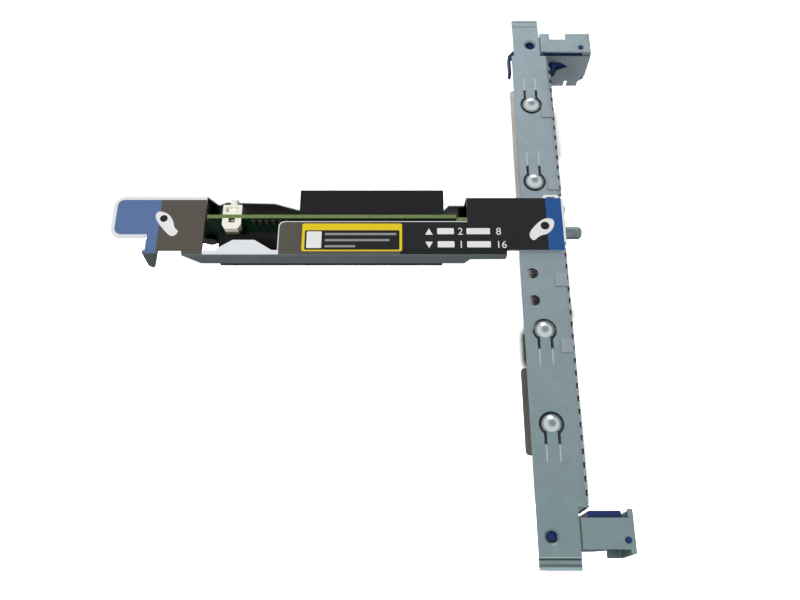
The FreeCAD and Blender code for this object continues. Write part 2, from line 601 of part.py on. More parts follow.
def make_rear_bracket():
    """Folded strip: top plate with domed spring tongues, rear wall with two card windows, bottom tab."""
    body = new_body("RearBracket")
    add(body, "angle", "XZ", "0 - strip_low_end", "strip_high_end", [
        ("strip_front", "strip_top"),
        ("rear_wall", "strip_top", "fold"),
        ("rear_wall", "wall_bottom"),
        ("wall_inner", "wall_bottom"),
        ("wall_inner", "strip_under", "bend"),
        ("strip_front", "strip_under"),
    ])
    for name, low, high in (("high_end", "wall_high_end", "strip_high_end + sheet"),
                            ("low_end", "0 - strip_low_end - sheet", "0 - wall_low_end")):
        cut(body, name, "XY", "wall_bottom", "strip_top",
            rectangle("rear_wall - end_setback", low, "rear_wall + sheet", high))
    cut(body, "high_front_edge", "XY", "strip_under", "strip_top", rectangle(
        "strip_front - sheet", "web_offset - play", "strip_front + high_front", "wall_high_end"))
    cut(body, "high_end_front", "XY", "strip_under", "strip_top", rectangle(
        "strip_front - sheet", "wall_high_end", "strip_front + end_front", "strip_high_end + sheet"))
    for name, low, high in (("short_window", "short_window_start", "short_window_start + short_window"),
                            ("long_window", "0 - long_window_start - long_window", "0 - long_window_start")):
        cut(body, name, "YZ", "wall_inner - sheet", "rear_wall + sheet",
            rectangle(low, "window_bottom", high, "window_top", "bend"))
    foot_far = "0 - foot_start - foot_length"
    foot_front = "strip_front + foot_inset"
    add(body, "foot", "XY", "wall_bottom", "wall_bottom + sheet", [
        (foot_front, foot_far, "foot_round"),
        ("wall_inner", foot_far),
        ("wall_inner", "0 - foot_start"),
        (foot_front, "0 - foot_start", "foot_round"),
    ])
    high_foot_front = "strip_front + high_foot_inset"
    high_foot_near = "short_window_start + high_foot_margin"
    high_foot_far = "short_window_start + short_window - high_foot_margin"
    add(body, "high_foot", "XY", "wall_bottom", "wall_bottom + sheet", [
        (high_foot_front, high_foot_near, "foot_round"),
        ("wall_inner", high_foot_near),
        ("wall_inner", high_foot_far),
        (high_foot_front, high_foot_far, "foot_round"),
    ])
    for name, end, side, front in (("high_lip", "strip_high_end", 1, "strip_front + end_front"),
                                   ("low_lip", "0 - strip_low_end", -1, "strip_front")):
        root = f"{end} - {side} * joggle_length"
        over = f"{end} + {side} * sheet"
        rear = "rear_wall - end_setback"
        low, high = (root, over) if side > 0 else (over, root)
        cut(body, name + "_step", "XY", "strip_top - joggle_depth", "strip_top",
            rectangle("strip_front - sheet", low, "rear_wall", high))
        root = f"{root} - {side} * sheet / 2"
        low, high = (root, end) if side > 0 else (end, root)
        add(body, name, "XY", "strip_under - joggle_depth", "strip_under",
            rectangle(front, low, rear, high))
    doc.recompute()
    tools = [tongue_slot_tool(*tongue) for tongue in TONGUES]
    for index in range(2):
        tools.append(cylinder(f"BoltHole{index}", "Z", "strip_front + bolt_inset",
                              f"0 - bolt_start - {index} * bolt_pitch", "strip_under - sheet",
                              "bolt_hole", "3 * sheet"))
    for name, x, y in (("High", "high_hole_x", "high_hole_y"), ("Low", "low_hole_x", "low_hole_y")):
        tools.append(cylinder(f"{name}EndHole", "Z", x, y, "strip_under - sheet", "end_hole", "3 * sheet"))
        tools.append(cone(f"{name}EndSink", x, y, "strip_top - end_hole_sink", "end_hole",
                          "end_hole + end_hole_sink", "end_hole_sink"))
    tools.append(cylinder("PinHoleInWall", "X", "wall_inner - sheet", "0 - pin_shift", "pin_height",
                          "pin_shank", "3 * sheet"))
    for side in (-1, 1):
        tools.append(cylinder(f"RivetHoleInWall{side}", "X", "wall_inner - sheet", "rivet_side",
                              f"pin_height + {side} * rivet_spread", "rivet_radius", "3 * sheet"))
    pierced = less("RearBracketPierced", body, tools)
    bead = cylinder("WallEndBead", "Z", "rear_wall + 0.8 * bead", "0 - wall_low_end + low_wall_margin / 2",
                    "window_bottom", "bead", "window_height + 2 * sheet")
    raised = [bead]
    hollows = []
    for name, line, place, side in TONGUES:
        sphere = ball(f"DomeBall{name}", line, place, "dome_centre", "dome_ball")
        band = cylinder(f"DomeBand{name}", "Z", line, place, "strip_top - sheet / 2",
                        "dome_radius", "dome_height + sheet")
        raised.append(shared(f"DomeCap{name}", sphere, band))
        hollows.append(cone(f"DomeHollow{name}", line, place, "strip_under", "dome_radius - sheet / 4",
                            "sheet", "dome_height"))
    domed = join("RearBracketDomed", [pierced] + raised)
    hand_in(less("RearBracketFinished", domed, hollows), "rear_bracket")


def make_spring_strip(name, label, low, high, clips):
    """Finger strip along a window's top: a bowed band of flats with slits, clips over the top plate."""
    bow = "finger_bow"
    half = "finger_height / 2"
    middle = f"strip_top - fold - {half}"
    length = f"({high}) - ({low})"
    knee = f"rear_wall + 0.7 * {bow}"
    knee_rise = "0.31 * finger_height"
    bowed = new_body(f"{name}Bow")
    add(bowed, f"{name}_bow", "XZ", low, high, [
        ("rear_wall", f"{middle} + {half}"),
        (knee, f"{middle} + {knee_rise}"),
        (f"rear_wall + {bow}", middle),
        (knee, f"{middle} - {knee_rise}"),
        ("rear_wall", f"{middle} - {half}"),
        ("rear_wall", f"{middle} - {half} + 1.4 * finger_thick"),
        (f"{knee} - finger_thick", f"{middle} - {knee_rise} + finger_thick / 3"),
        (f"rear_wall + {bow} - finger_thick", middle),
        (f"{knee} - finger_thick", f"{middle} + {knee_rise} - finger_thick / 3"),
        ("rear_wall", f"{middle} + {half} - 1.4 * finger_thick"),
    ])
    slits = []
    count = int(value(length) / value("finger_pitch"))
    first = f"({low}) + (({length}) - {count - 1} * finger_pitch) / 2 - finger_gap / 2"
    for index in range(count):
        near = f"{first} + {index} * finger_pitch"
        slits.append(box(f"{name}Slit{index}", "rear_wall - sheet", near, f"{middle} - finger_height",
                         f"rear_wall + 2 * {bow}", f"{near} + finger_gap",
                         f"{middle} + {half} - 3 * finger_thick"))
    comb = less(f"{name}Comb", bowed, slits)
    pieces = [comb]
    for index, place in enumerate(clips):
        clip = new_body(f"{name}Clip{index}")
        rest = "strip_top + finger_thick / 5"
        wall = "rear_wall + finger_thick / 5"
        near, far = f"{place} - clip_tab_length / 2", f"{place} + clip_tab_length / 2"
        add(clip, f"{name}_clip_{index}", "XZ", near, far, [
            ("rear_wall - fold - clip_tab_reach", rest),
            ("rear_wall - fold - clip_tab_reach", f"{rest} + finger_thick"),
            (f"{wall} + finger_thick", f"{rest} + finger_thick", "fold + finger_thick / 5 + finger_thick"),
            (f"{wall} + finger_thick", f"{middle} + {half} - 2 * finger_thick"),
            (wall, f"{middle} + {half} - 2 * finger_thick"),
            (wall, rest, "fold + finger_thick / 5"),
        ])
        pieces.append(clip)
    doc.recompute()
    hand_in(join(f"{name}Whole", pieces), label)


def make_high_housing():
    """Upper housing: top plate with notch and tongue, rear side, floor and a seat wall with a window."""
    body = new_body("HighHousing")
    far = "high_box_start + high_box_width"
    add(body, "shell", "XZ", "high_box_start", far, [
        ("rear_wall - box_front", "strip_top"),
        ("high_box_rear", "strip_top", "fold"),
        ("high_box_rear", "box_bottom", "fold"),
        ("rear_wall + play", "box_bottom"),
        ("rear_wall + play", "box_floor_top"),
        ("high_box_rear - sheet", "box_floor_top", "bend"),
        ("high_box_rear - sheet", "strip_under", "bend"),
        ("rear_wall - box_front", "strip_under"),
    ])
    cut(body, "floor_edge", "XY", "box_bottom", "box_floor_top + bend", rectangle(
        "rear_wall - sheet", "high_box_start + box_floor", "high_box_rear + sheet", f"{far} + sheet"))
    notch_front = "rear_wall + 1.3 * sheet"
    cut(body, "notch", "XY", "strip_under", "strip_top", [
        (notch_front, f"{far} + sheet"),
        (notch_front, f"{far} - notch_depth", "bend"),
        (f"{notch_front} + notch_length", f"{far} - notch_depth", "bend"),
        (f"{notch_front} + notch_length", f"{far} + sheet"),
    ])
    add(body, "fin", "XZ", f"{far} - sheet / 2", f"{far} + high_box_fin", rectangle(
        "high_box_rear - sheet", "box_bottom + wall_height / 3", "high_box_rear", "strip_top - fold"))
    seat_top = "strip_under - seat_gap"
    window_front = "rear_wall + 2 * sheet"
    window_low = "box_floor_top + 2.3 * sheet"
    window_middle = f"{window_low} + 0.42 * seat_window_height"
    add(body, "seat", "XZ", "seat_outer", "seat_inner", [
        ("rear_wall + play", "box_bottom"),
        ("high_box_rear - fold", "box_bottom"),
        ("high_box_rear - fold", "box_bottom + 3 * sheet"),
        ("high_box_rear", "box_bottom + 4 * sheet"),
        ("high_box_rear", seat_top),
        ("rear_wall + play", seat_top),
    ])
    cut(body, "seat_window", "XZ", "seat_outer - sheet", "seat_inner + play", [
        (window_front, window_low),
        (f"{window_front} + 0.4 * seat_window", window_low),
        (f"{window_front} + 0.46 * seat_window", window_middle),
        (f"{window_front} + seat_window", f"{window_low} + 0.68 * seat_window_height"),
        (f"{window_front} + 0.55 * seat_window", f"{window_low} + seat_window_height"),
        (window_front, f"{window_low} + seat_window_height"),
    ])
    for name, tab_front, tab_rear in (("near_tab", "4.6", "10.7"), ("far_tab", "12", "16.7")):
        add(body, name, "XZ", "seat_outer", "seat_inner", rectangle(
            f"rear_wall + {tab_front} * sheet", "box_bottom - seat_tab",
            f"rear_wall + {tab_rear} * sheet", "box_bottom + sheet"))
    add(body, "tongue", "XY", "strip_under - sheet", "strip_under", rectangle(
        "rear_wall - box_front - box_tongue", "wall_high_end + 2 * sheet",
        "rear_wall - box_front + sheet", f"{far} - sheet"))
    doc.recompute()
    drills = [
        cylinder("HighPivotHole", "Z", "high_pivot_x", "high_pivot_y", "box_bottom - sheet",
                 "pivot_radius + run_fit", "wall_height + 2 * sheet"),
        cylinder("HighTongueHole", "Z", "high_hole_x", "high_hole_y", "strip_under - 2 * sheet",
                 "end_hole", "3 * sheet"),
    ]
    hand_in(less("HighHousingDrilled", body, drills), "latch_housing_upper")


def make_low_housing():
    """Lower housing: top plate with tongue, rear side and floor, open towards the card window."""
    body = new_body("LowHousing")
    near = "0 - low_box_start"
    far = "0 - low_box_start - low_box_width"
    lobe = "low_nose_reach + play"
    add(body, "shell", "XZ", f"{far} - 1.3 * sheet", f"{near} + {lobe}", [
        ("rear_wall - box_front", "strip_top"),
        ("low_box_rear", "strip_top", "fold"),
        ("low_box_rear", "box_bottom", "fold"),
        ("rear_wall + play", "box_bottom"),
        ("rear_wall + play", "box_floor_top"),
        ("low_box_rear - sheet", "box_floor_top", "bend"),
        ("low_box_rear - sheet", "strip_under", "bend"),
        ("rear_wall - box_front", "strip_under"),
    ])
    cut(body, "near_edge", "XY", "strip_under - bend", "strip_top", rectangle(
        "rear_wall - box_front - sheet", near, "low_box_rear - 2.2 * sheet", f"{near} + {lobe} + sheet"))
    cut(body, "far_edge", "XY", "strip_under - bend", "strip_top", rectangle(
        "rear_wall - box_front - sheet", f"{far} - 2.3 * sheet", "low_box_rear - 2.2 * sheet", far))
    cut(body, "floor_edge", "XY", "box_bottom", "box_floor_top", rectangle(
        "rear_wall - sheet", f"{far} - 2.3 * sheet", "low_pivot_x - 3 * sheet", f"{far} + 2.6 * sheet"))
    add(body, "tongue", "XY", "strip_under - sheet", "strip_under", rectangle(
        "rear_wall - box_front - box_tongue", f"{far} + sheet",
        "rear_wall - box_front + sheet", "0 - wall_low_end - 4 * sheet"))
    doc.recompute()
    drill = cylinder("LowPivotHole", "Z", "low_pivot_x", "low_pivot_y", "box_bottom - sheet",
                     "pivot_radius + run_fit", "wall_height + 2 * sheet")
    hand_in(less("LowHousingDrilled", body, [drill]), "latch_housing_lower")


def pivot(name, x, y):
    """A lever's knuckle, with its two pivots through the housing's top plate and floor."""
    knuckle = cylinder(f"{name}Knuckle", "Z", x, y, "lever_low", "knuckle", "lever_high - lever_low")
    pin = cylinder(f"{name}Pivot", "Z", x, y, "box_bottom", "pivot_radius",
                   "strip_top + 0.2 * sheet - box_bottom")
    return [knuckle, pin]


def make_high_lever():
    """Upper lever: body behind the seat wall, nose through its window, front arm and finger grip."""
    body = new_body("HighLever")
    near = "seat_inner + play"
    far = f"{near} + lever_body"
    front = "rear_wall - box_front"
    add(body, "block", "XY", "lever_low", "lever_high - sheet", [
        (front, near),
        ("high_pivot_x", near),
        ("high_pivot_x", "high_pivot_y"),
        ("high_pivot_x - 5 * sheet", far, "bend"),
        (front, far, "bend"),
    ])
    nose_front = "rear_wall + 3 * sheet"
    add(body, "nose", "XY", "box_floor_top + 5 * sheet", "box_floor_top + 2 * sheet + seat_window_height", [
        (nose_front, near),
        (nose_front, "seat_outer - nose_reach"),
        (f"{nose_front} + 0.2 * seat_window", "seat_outer - nose_reach"),
        (f"{nose_front} + 0.26 * seat_window", near),
    ])
    add(body, "front_arm", "XY", "arm_low", "arm_high", [
        ("lever_tip", near),
        (front, near),
        (front, f"{near} + 2 * lever_arm"),
        ("lever_tip + 2 * lever_arm", f"{near} + 2 * lever_arm"),
        ("lever_tip + lever_arm", f"{near} + lever_arm"),
        ("lever_tip", f"{near} + lever_arm"),
    ])
    grip_front = "lever_tip - grip_out"
    add(body, "grip", "XY", "arm_low", "arm_high", [
        ("lever_tip", f"{near} + lever_arm"),
        (grip_front, near),
        (grip_front, f"{near} - grip_length"),
        (f"{grip_front} + grip_thick", f"{near} - grip_length"),
        (f"{grip_front} + grip_thick", f"{near} - play"),
        ("lever_tip + grip_thick", f"{near} + lever_arm / 2"),
        ("lever_tip + grip_thick", f"{near} + lever_arm"),
    ])
    doc.recompute()
    hand_in(join("HighLeverWhole", [body] + pivot("HighLever", "high_pivot_x", "high_pivot_y")),
            "latch_lever_upper")


def make_low_lever():
    """Lower lever: body under the top plate, nose towards the card window and front arm."""
    body = new_body("LowLever")
    near = "low_nose_reach - low_box_start"
    far = "0.8 * sheet - low_box_start - low_box_width"
    front = "rear_wall - box_front"
    add(body, "block", "XY", "lever_low", "lever_high - sheet", [
        ("rear_wall + play", near, "bend"),
        ("low_pivot_x - sheet", near, "bend"),
        ("low_pivot_x", "low_pivot_y"),
        ("low_pivot_x", "low_pivot_y - knuckle"),
        ("low_pivot_x - 7 * sheet", far),
        (front, far),
        (front, "low_pivot_y + 4 * sheet"),
        ("rear_wall + play", "low_pivot_y + 4 * sheet"),
    ])
    add(body, "front_arm", "XY", "arm_low", "arm_high", rectangle(
        "lever_tip", "low_pivot_y - lever_arm / 2", front, "low_pivot_y + lever_arm"))
    doc.recompute()
    hand_in(join("LowLeverWhole", [body] + pivot("LowLever", "low_pivot_x", "low_pivot_y")),
            "latch_lever_lower")


# Places of the board's two fixings
FIXINGS = ["fixing_inset - board_front", "board_rear - fixing_inset"]


def make_board():
    """Riser board: stepped top corners, card-edge tongue with a key notch, two fixing holes."""
    body = new_body("Board")
    half = "edge_length / 2"
    add(body, "panel", "XZ", "0 - board_face", "board_face", [
        ("0 - board_front", "board_bottom"),
        (f"0 - {half}", "board_bottom"),
        (f"0 - {half}", "0"),
        ("key_place - key_width / 2", "0"),
        ("key_place - key_width / 2", "key_depth"),
        ("key_place + key_width / 2", "key_depth"),
        ("key_place + key_width / 2", "0"),
        (half, "0"),
        (half, "board_bottom"),
        ("board_rear", "board_bottom"),
        ("board_rear", "board_top - board_step"),
        ("shoulder - 4.3 * sheet", "board_top - board_step"),
        ("shoulder - 4.3 * sheet", "board_top"),
        ("0.6 * sheet - gap_front", "board_top"),
        ("0.6 * sheet - gap_front", "board_top - board_step"),
        ("0 - board_front", "board_top - board_step"),
    ])
    doc.recompute()
    drills = [cylinder(f"BoardHole{index}", "Y", place, "0 - board_thick", "fixing_height",
                       "screw_radius + play", "2 * board_thick") for index, place in enumerate(FIXINGS)]
    stem = cylinder("BoardClipHole", "Y", "clip_middle", "0 - board_thick",
                    "board_top - clip_height + clip_stem", "clip_stem", "2 * board_thick")
    hand_in(less("BoardDrilled", body, drills + [stem]), "riser_board")


def make_socket(name, label, length, middle, side):
    """Card socket: block with a card slot and a key across the slot."""
    body = new_body(name)
    front = f"socket_rear - {length}"
    low, high = ("board_face", "socket_face") if side > 0 else ("0 - socket_face", "0 - board_face")
    add(body, "block", "XZ", low, high, rectangle(
        front, f"{middle} - socket_thick / 2", "socket_rear", f"{middle} + socket_thick / 2"))
    mouth = "socket_face - slot_depth"
    slot_low, slot_high = (mouth, "socket_face") if side > 0 else ("0 - socket_face", f"0 - ({mouth})")
    slot_rear = "socket_rear - socket_end"
    for part, slot_front, slot_end in (
            ("long", f"{front} + socket_end", f"{slot_rear} - socket_key - card_slot"),
            ("key_side", f"{slot_rear} - socket_key", slot_rear)):
        cut(body, part + "_slot", "XZ", slot_low, slot_high, rectangle(
            slot_front, f"{middle} - card_slot / 2", slot_end, f"{middle} + card_slot / 2"))
    hand_in(body, label)


def make_tails(label, length, middle, side):
    """Solder tails of a socket: two staggered rows past the far face of the board."""
    size = value("tail_size")
    reach = value("tail_length")
    pitch = value("tail_pitch")
    front = value(f"socket_rear - {length} + socket_end")
    count = int((value(length) - 2 * value("socket_end")) / pitch)
    face = value("board_face")
    start = -face - reach if side > 0 else face
    shapes = []
    for row, stagger in ((-1, 0.0), (1, 0.5)):
        height = value(f"{middle} + {row} * tail_row") - size / 2
        for index in range(count):
            corner = FreeCAD.Vector(front + (index + stagger) * pitch, start, height)
            shapes.append(Part.makeBox(size, reach, size, corner))
    hand_in(group(label + "_group", shapes), label)


def make_edge_contacts():
    """Gold contacts on both faces of the card edge, clear of the key notch."""
    width = value("contact_width")
    thick = value("contact_thick")
    pitch = value("contact_pitch")
    half = value("edge_length") / 2
    key = value("key_place")
    clear = (value("key_width") + width) / 2 + value("play")
    count = int(2 * half / pitch)
    first = -(count - 1) * pitch / 2
    foot = value("contact_width") / 2
    shapes = []
    for start in (value("board_face"), -value("board_face") - thick):
        for index in range(count):
            middle = first + index * pitch
            if abs(middle - key) < clear:
                continue
            corner = FreeCAD.Vector(middle - width / 2, start, foot)
            shapes.append(Part.makeBox(width, thick, value("contact_length"), corner))
    hand_in(group("edge_contact_group", shapes), "edge_contacts")


def make_capacitors():
    """Two rows of small capacitors on the long socket's side of the board, beside the clip."""
    size = FreeCAD.Vector(value("chip_length"), value("chip_height"), value("chip_width"))
    start = value("clip_middle + clip_length")
    end = value("socket_rear - short_socket - socket_end")
    pitch = value("chip_pitch")
    count = int((end - start) / pitch)
    shapes = []
    for row in range(2):
        height = value(f"board_top - chip_drop - {row} * chip_row")
        for index in range(count):
            corner = FreeCAD.Vector(start + index * pitch, -value("board_face") - size.y, height)
            shapes.append(Part.makeBox(size.x, size.y, size.z, corner))
    hand_in(group("capacitor_group", shapes), "board_capacitors")


def make_clip():
    """Nylon clip: a slotted head and a shoulder that straddle the board, with a stem to the web."""
    body = new_body("Clip")
    low = "board_top - clip_height"
    front = "0 - clip_front"
    rear = "clip_length - clip_front"
    taper = "clip_length / 6"
    add(body, "head", "XY", low, "board_top + board_top_gap / 2", [
        (front, "0 - board_face"),
        (front, "0 - clip_reach_low + taper_run"),
        (f"{front} + {taper}", "0 - clip_reach_low"),
        (f"{rear} - {taper}", "0 - clip_reach_low"),
        (rear, "0 - clip_reach_low + taper_run"),
        (rear, "0 - board_face"),
    ])
    cut(body, "head_slot", "XY", f"{low} + clip_height / 3", "board_top + board_top_gap", [
        (f"clip_middle - {taper}", "0 - board_face"),
        (f"clip_middle - {taper}", "0 - clip_reach_low / 2"),
        (f"clip_middle + {taper}", "0 - clip_reach_low / 2"),
        (f"clip_middle + {taper}", "0 - board_face"),
    ])
    doc.recompute()
    shoulder = box("ClipShoulder", front, "board_face", low,
                   rear, "clip_reach_high", "board_top + board_top_gap / 2")
    hollow = box("ClipHollow", f"{front} + {taper}", "board_face + sheet", f"{low} + clip_height / 2",
                 f"{rear} - {taper}", "clip_reach_high - sheet", "board_top + sheet")
    stem = cylinder("ClipStem", "Y", "clip_middle", "0 - board_face", f"{low} + clip_stem", "clip_stem",
                    "web_inner + board_face")
    whole = join("ClipWhole", [body, less("ClipShoulderHollow", shoulder, [hollow]), stem])
    hand_in(whole, "board_clip")


def make_fixings():
    """Standoffs between board and web, and the screws that hold the board on them."""
    standoffs = []
    screws = []
    along = FreeCAD.Vector(0, 1, 0)
    face = value("board_face")
    web = value("web_inner")
    shank_end = web - value("sheet")
    for place in FIXINGS:
        foot = FreeCAD.Vector(value(place), face, value("fixing_height"))
        post = Part.makeCylinder(value("standoff_radius"), web - face, foot, along)
        bore = Part.makeCylinder(value("screw_radius"), shank_end - face, foot, along)
        standoffs.append(post.cut(bore))
        under = FreeCAD.Vector(foot.x, -face, foot.z)
        shank = Part.makeCylinder(value("screw_radius"), shank_end + face, under, along)
        head = Part.makeCylinder(value("screw_head"), value("screw_head_height"), under, along * -1)
        screws.append(head.fuse(shank).removeSplitter())
    hand_in(group("standoff_group", standoffs), "board_standoffs")
    hand_in(group("screw_group", screws), "board_screws")


def make_labels():
    """Printed films on the front plate with the handle, and on the narrow and wide rear plate."""
    top = "top_height + film"
    front = new_body("FrontLabel")
    handle_low = "web_offset - fold / 2 - handle_width + film_margin"
    handle_high = "web_offset - fold / 2 - film_margin"
    handle_front = "film_margin - plate_front - handle_reach"
    add(front, "front_film", "XY", "top_height", top, [
        (handle_front, handle_low, "handle_round - film_margin"),
        (handle_front, handle_high, "handle_round - film_margin"),
        ("0 - gap_front", handle_high),
        ("0 - gap_front", "plate_edge"),
        ("0 - plate_front", "plate_edge"),
        ("0 - plate_front", handle_low),
    ])
    hand_in(front, "label_front")
    rear = new_body("RearLabel")
    inset = "film_margin / 4"
    end = "rear_wall - flange_bend"
    add(rear, "rear_film", "XY", "top_height", top, [
        (f"{inset} - gap_rear", "plate_edge"),
        (end, "plate_edge"),
        (end, "web_inner - bend"),
        ("shoulder", "web_inner - bend"),
        ("shoulder", f"0 - narrow_edge - {inset}"),
        (f"{inset} - gap_rear", f"0 - narrow_edge - {inset}", "plate_round"),
    ])
    hand_in(rear, "label_rear")


def make_pin_and_rivets():
    """Locating pin through rear wall and flange, and the rivets beside it."""
    across = FreeCAD.Vector(1, 0, 0)
    body = new_body("Pin")
    inner = "wall_inner"
    tip = "flange_face + pin_length"
    half = [
        (inner, "0"),
        (tip, "0"),
        (tip, "pin_radius - pin_point"),
        (f"{tip} - pin_point", "pin_radius"),
        ("flange_face", "pin_radius"),
        ("flange_face", "pin_shank"),
        (inner, "pin_shank"),
    ]
    turned = body.newObject("PartDesign::Revolution", "pin_turned")
    profile = outline(body, "pin_outline", "XZ", "0", half)
    turned.Profile = profile
    turned.ReferenceAxis = (profile, ["H_Axis"])
    turned.Angle = 360
    bind(body, y="0 - pin_shift", z="pin_height")
    hand_in(body, "locating_pin")
    rivets = []
    shank = 2 * value("sheet")
    for side in (-1, 1):
        height = value(f"pin_height + {side} * rivet_spread")
        start = FreeCAD.Vector(value(inner), value("rivet_side"), height)
        stem = Part.makeCylinder(value("rivet_radius"), shank, start, across)
        outer = Part.makeCylinder(value("rivet_head"), value("rivet_height"), start + across * shank, across)
        tail = Part.makeCylinder(value("rivet_head"), value("rivet_height"), start, across * -1)
        rivets.append(stem.fuse([outer, tail]).removeSplitter())
    hand_in(group("rivet_group", rivets), "bracket_rivets")


def main():
    make_arm_bracket()
    make_rear_bracket()
    make_spring_strip("HighStrip", "spring_strip_upper", "short_window_start",
                      "short_window_start + short_window", ["high_clip_far", "high_clip_near"])
    make_spring_strip("LowStrip", "spring_strip_lower", "0 - long_window_start - long_window",
                      "0 - long_window_start", ["0 - low_clip_near", "0 - low_clip_far"])
    make_high_housing()
    make_low_housing()
    make_high_lever()
    make_low_lever()
    make_board()
    make_socket("ShortSocket", "slot_connector_short", "short_socket", "short_socket_middle", 1)
    make_socket("LongSocket", "slot_connector_long", "long_socket", "long_socket_middle", -1)
    make_tails("short_connector_tails", "short_socket", "short_socket_middle", 1)
    make_tails("long_connector_tails", "long_socket", "long_socket_middle", -1)
    make_edge_contacts()
    make_capacitors()
    make_clip()
    make_fixings()
    make_labels()
    make_pin_and_rivets()
    doc.recompute()
    failed = [item.Name for item in doc.Objects if "Invalid" in item.State or "Error" in item.State]
    if failed:
        raise RuntimeError("these failed to build: " + ", ".join(failed))
    os.makedirs("parts", exist_ok=True)
    for item in sub_parts:
        if item.Shape.isNull() or not item.Shape.isValid():
            raise RuntimeError(item.Label + " has no valid shape")
    for item in sub_parts:
        item.Shape.exportStep(f"parts/{item.Label}.step")
        print(item.Label, len(item.Shape.Solids), round(item.Shape.Volume, 1))


main()
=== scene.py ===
import json
import math

import bmesh
import bpy
import numpy as np
from bpy.props import FloatProperty, FloatVectorProperty, PointerProperty
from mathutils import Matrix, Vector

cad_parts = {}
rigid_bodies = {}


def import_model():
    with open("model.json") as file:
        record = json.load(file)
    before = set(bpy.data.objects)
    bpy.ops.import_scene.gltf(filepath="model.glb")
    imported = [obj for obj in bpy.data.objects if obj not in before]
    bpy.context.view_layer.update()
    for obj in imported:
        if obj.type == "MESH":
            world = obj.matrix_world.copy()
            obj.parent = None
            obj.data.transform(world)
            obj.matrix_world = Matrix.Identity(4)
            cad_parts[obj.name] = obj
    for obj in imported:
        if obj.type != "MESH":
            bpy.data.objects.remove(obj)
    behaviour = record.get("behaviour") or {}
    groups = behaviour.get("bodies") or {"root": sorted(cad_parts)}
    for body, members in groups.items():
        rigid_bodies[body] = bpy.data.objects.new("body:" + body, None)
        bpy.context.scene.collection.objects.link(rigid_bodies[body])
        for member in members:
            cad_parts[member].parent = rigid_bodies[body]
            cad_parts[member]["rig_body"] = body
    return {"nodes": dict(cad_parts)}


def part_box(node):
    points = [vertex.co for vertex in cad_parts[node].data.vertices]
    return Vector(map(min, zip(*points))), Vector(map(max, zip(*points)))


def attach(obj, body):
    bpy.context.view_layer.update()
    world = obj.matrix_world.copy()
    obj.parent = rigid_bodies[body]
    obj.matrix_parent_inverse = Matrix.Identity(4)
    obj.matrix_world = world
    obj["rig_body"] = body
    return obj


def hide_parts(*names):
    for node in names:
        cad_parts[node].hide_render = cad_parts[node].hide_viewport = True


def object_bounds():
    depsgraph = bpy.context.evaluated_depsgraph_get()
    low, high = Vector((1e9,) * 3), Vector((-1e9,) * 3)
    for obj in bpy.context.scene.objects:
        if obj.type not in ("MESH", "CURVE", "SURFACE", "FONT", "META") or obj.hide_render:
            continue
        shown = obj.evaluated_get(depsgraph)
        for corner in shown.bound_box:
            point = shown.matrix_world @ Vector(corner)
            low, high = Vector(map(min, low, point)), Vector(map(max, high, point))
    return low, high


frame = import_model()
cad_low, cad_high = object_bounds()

bl_info = {
    "name": "Riser card in its cage",
    "version": (1, 0, 0),
    "blender": (4, 5, 0),
    "location": "View3D > Sidebar > Riser",
    "description": "Dresses the riser card and its folded cage with finishes, prints and fine detail",
    "category": "Object",
}

MM = 0.001
NODES = frame["nodes"]
CAGE = "cage"

# Heights of the strip's plate, the arm's plate and the films
DOME_HEIGHT = 1.6 * MM
STRIP_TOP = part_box("rear_bracket")[1].z - DOME_HEIGHT
STRIP_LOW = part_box("rear_bracket")[0].z
ARM_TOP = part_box("arm_bracket")[1].z
FILM_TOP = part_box("label_rear")[1].z

# Spring tongues: place across and along the strip in millimetres, and the side that their legs point to
TONGUES = ((79.1, 52.6, 1), (78.1, 16.1, 1), (77.7, -46.6, -1), (77.7, -81.4, -1))
TONGUE_DISC, TONGUE_LEG = 3.45, 3.8
TONGUE_NECK, TONGUE_SLOT = 3.7, 1.0
CREASE_OVERLAP = 0.4

# Spacing of the fingers and of the capacitors, and the shade beside a finger's slit
FINGER_PITCH = 4.7 * MM
SLIT_SHADE = 1.0 * MM
SLIT_DEPTH = 1.2 * MM
CAPACITOR_PITCH = 2.56 * MM

# Open ends of a stretch, well outside the part
BEFORE, PAST = -1.0, 1.0

# Softened copies: distance of merged points, evenness of joined faces, angles of sharp and rounded edges
MERGE_GAP = 0.002 * MM
EVEN_ANGLE = math.radians(0.6)
SHARP_ANGLE = math.radians(32)
ROUNDED_ANGLE = math.radians(42)

# Height of a printed figure as a share of its font's size
FIGURE_SHARE = 0.7

# Strip: its tone changes between two places; it has feet, with painted shade where they lie under the plate,
# and slots with painted shade on their walls
TONE_CHANGE = (-120 * MM, 20 * MM)
FEET_ALONG = (-89 * MM, 74 * MM)
FEET_REAR = 86.6 * MM
FEET_TOP = STRIP_LOW + 1.3 * MM
FEET_SHADE_FROM = 75.8 * MM
SLOTS_ACROSS = (72.7 * MM, 84.5 * MM)
SLOTS_ALONG = (-92 * MM, 62 * MM)
SLOT_WALLS = (STRIP_TOP - 0.97 * MM, STRIP_TOP - 0.16 * MM)
DOME_FOOT = STRIP_TOP + 0.3 * MM
DOME_CROWN = STRIP_TOP + 1.35 * MM

# Painted lines of shade and highlight across the strip's stepped end lips: start, end in millimetres and
# tone
END_SHADE_AND_HIGHLIGHT = ((93.0, 93.6, 0.3), (95.9, 97.0, 0.75), (-126.0, -125.6, 1.6), (-126.7, -126.0, 0.35),
             (-128.7, -127.8, 0.55), (-130.0, -128.9, 1.5))

# Arm: the lip's face and its bend, the web's inner part, and the hook's rear end, which bound the painted
# shade
LIP_FACE = -14.65 * MM
LIP_BEND = -14.55 * MM
BEND_LOW = ARM_TOP - 0.9 * MM
WEB_INSIDE = (6.0 * MM, 8.9 * MM)
WEB_HIGH = ARM_TOP - 1.1 * MM
HOOK_REAR = -64 * MM

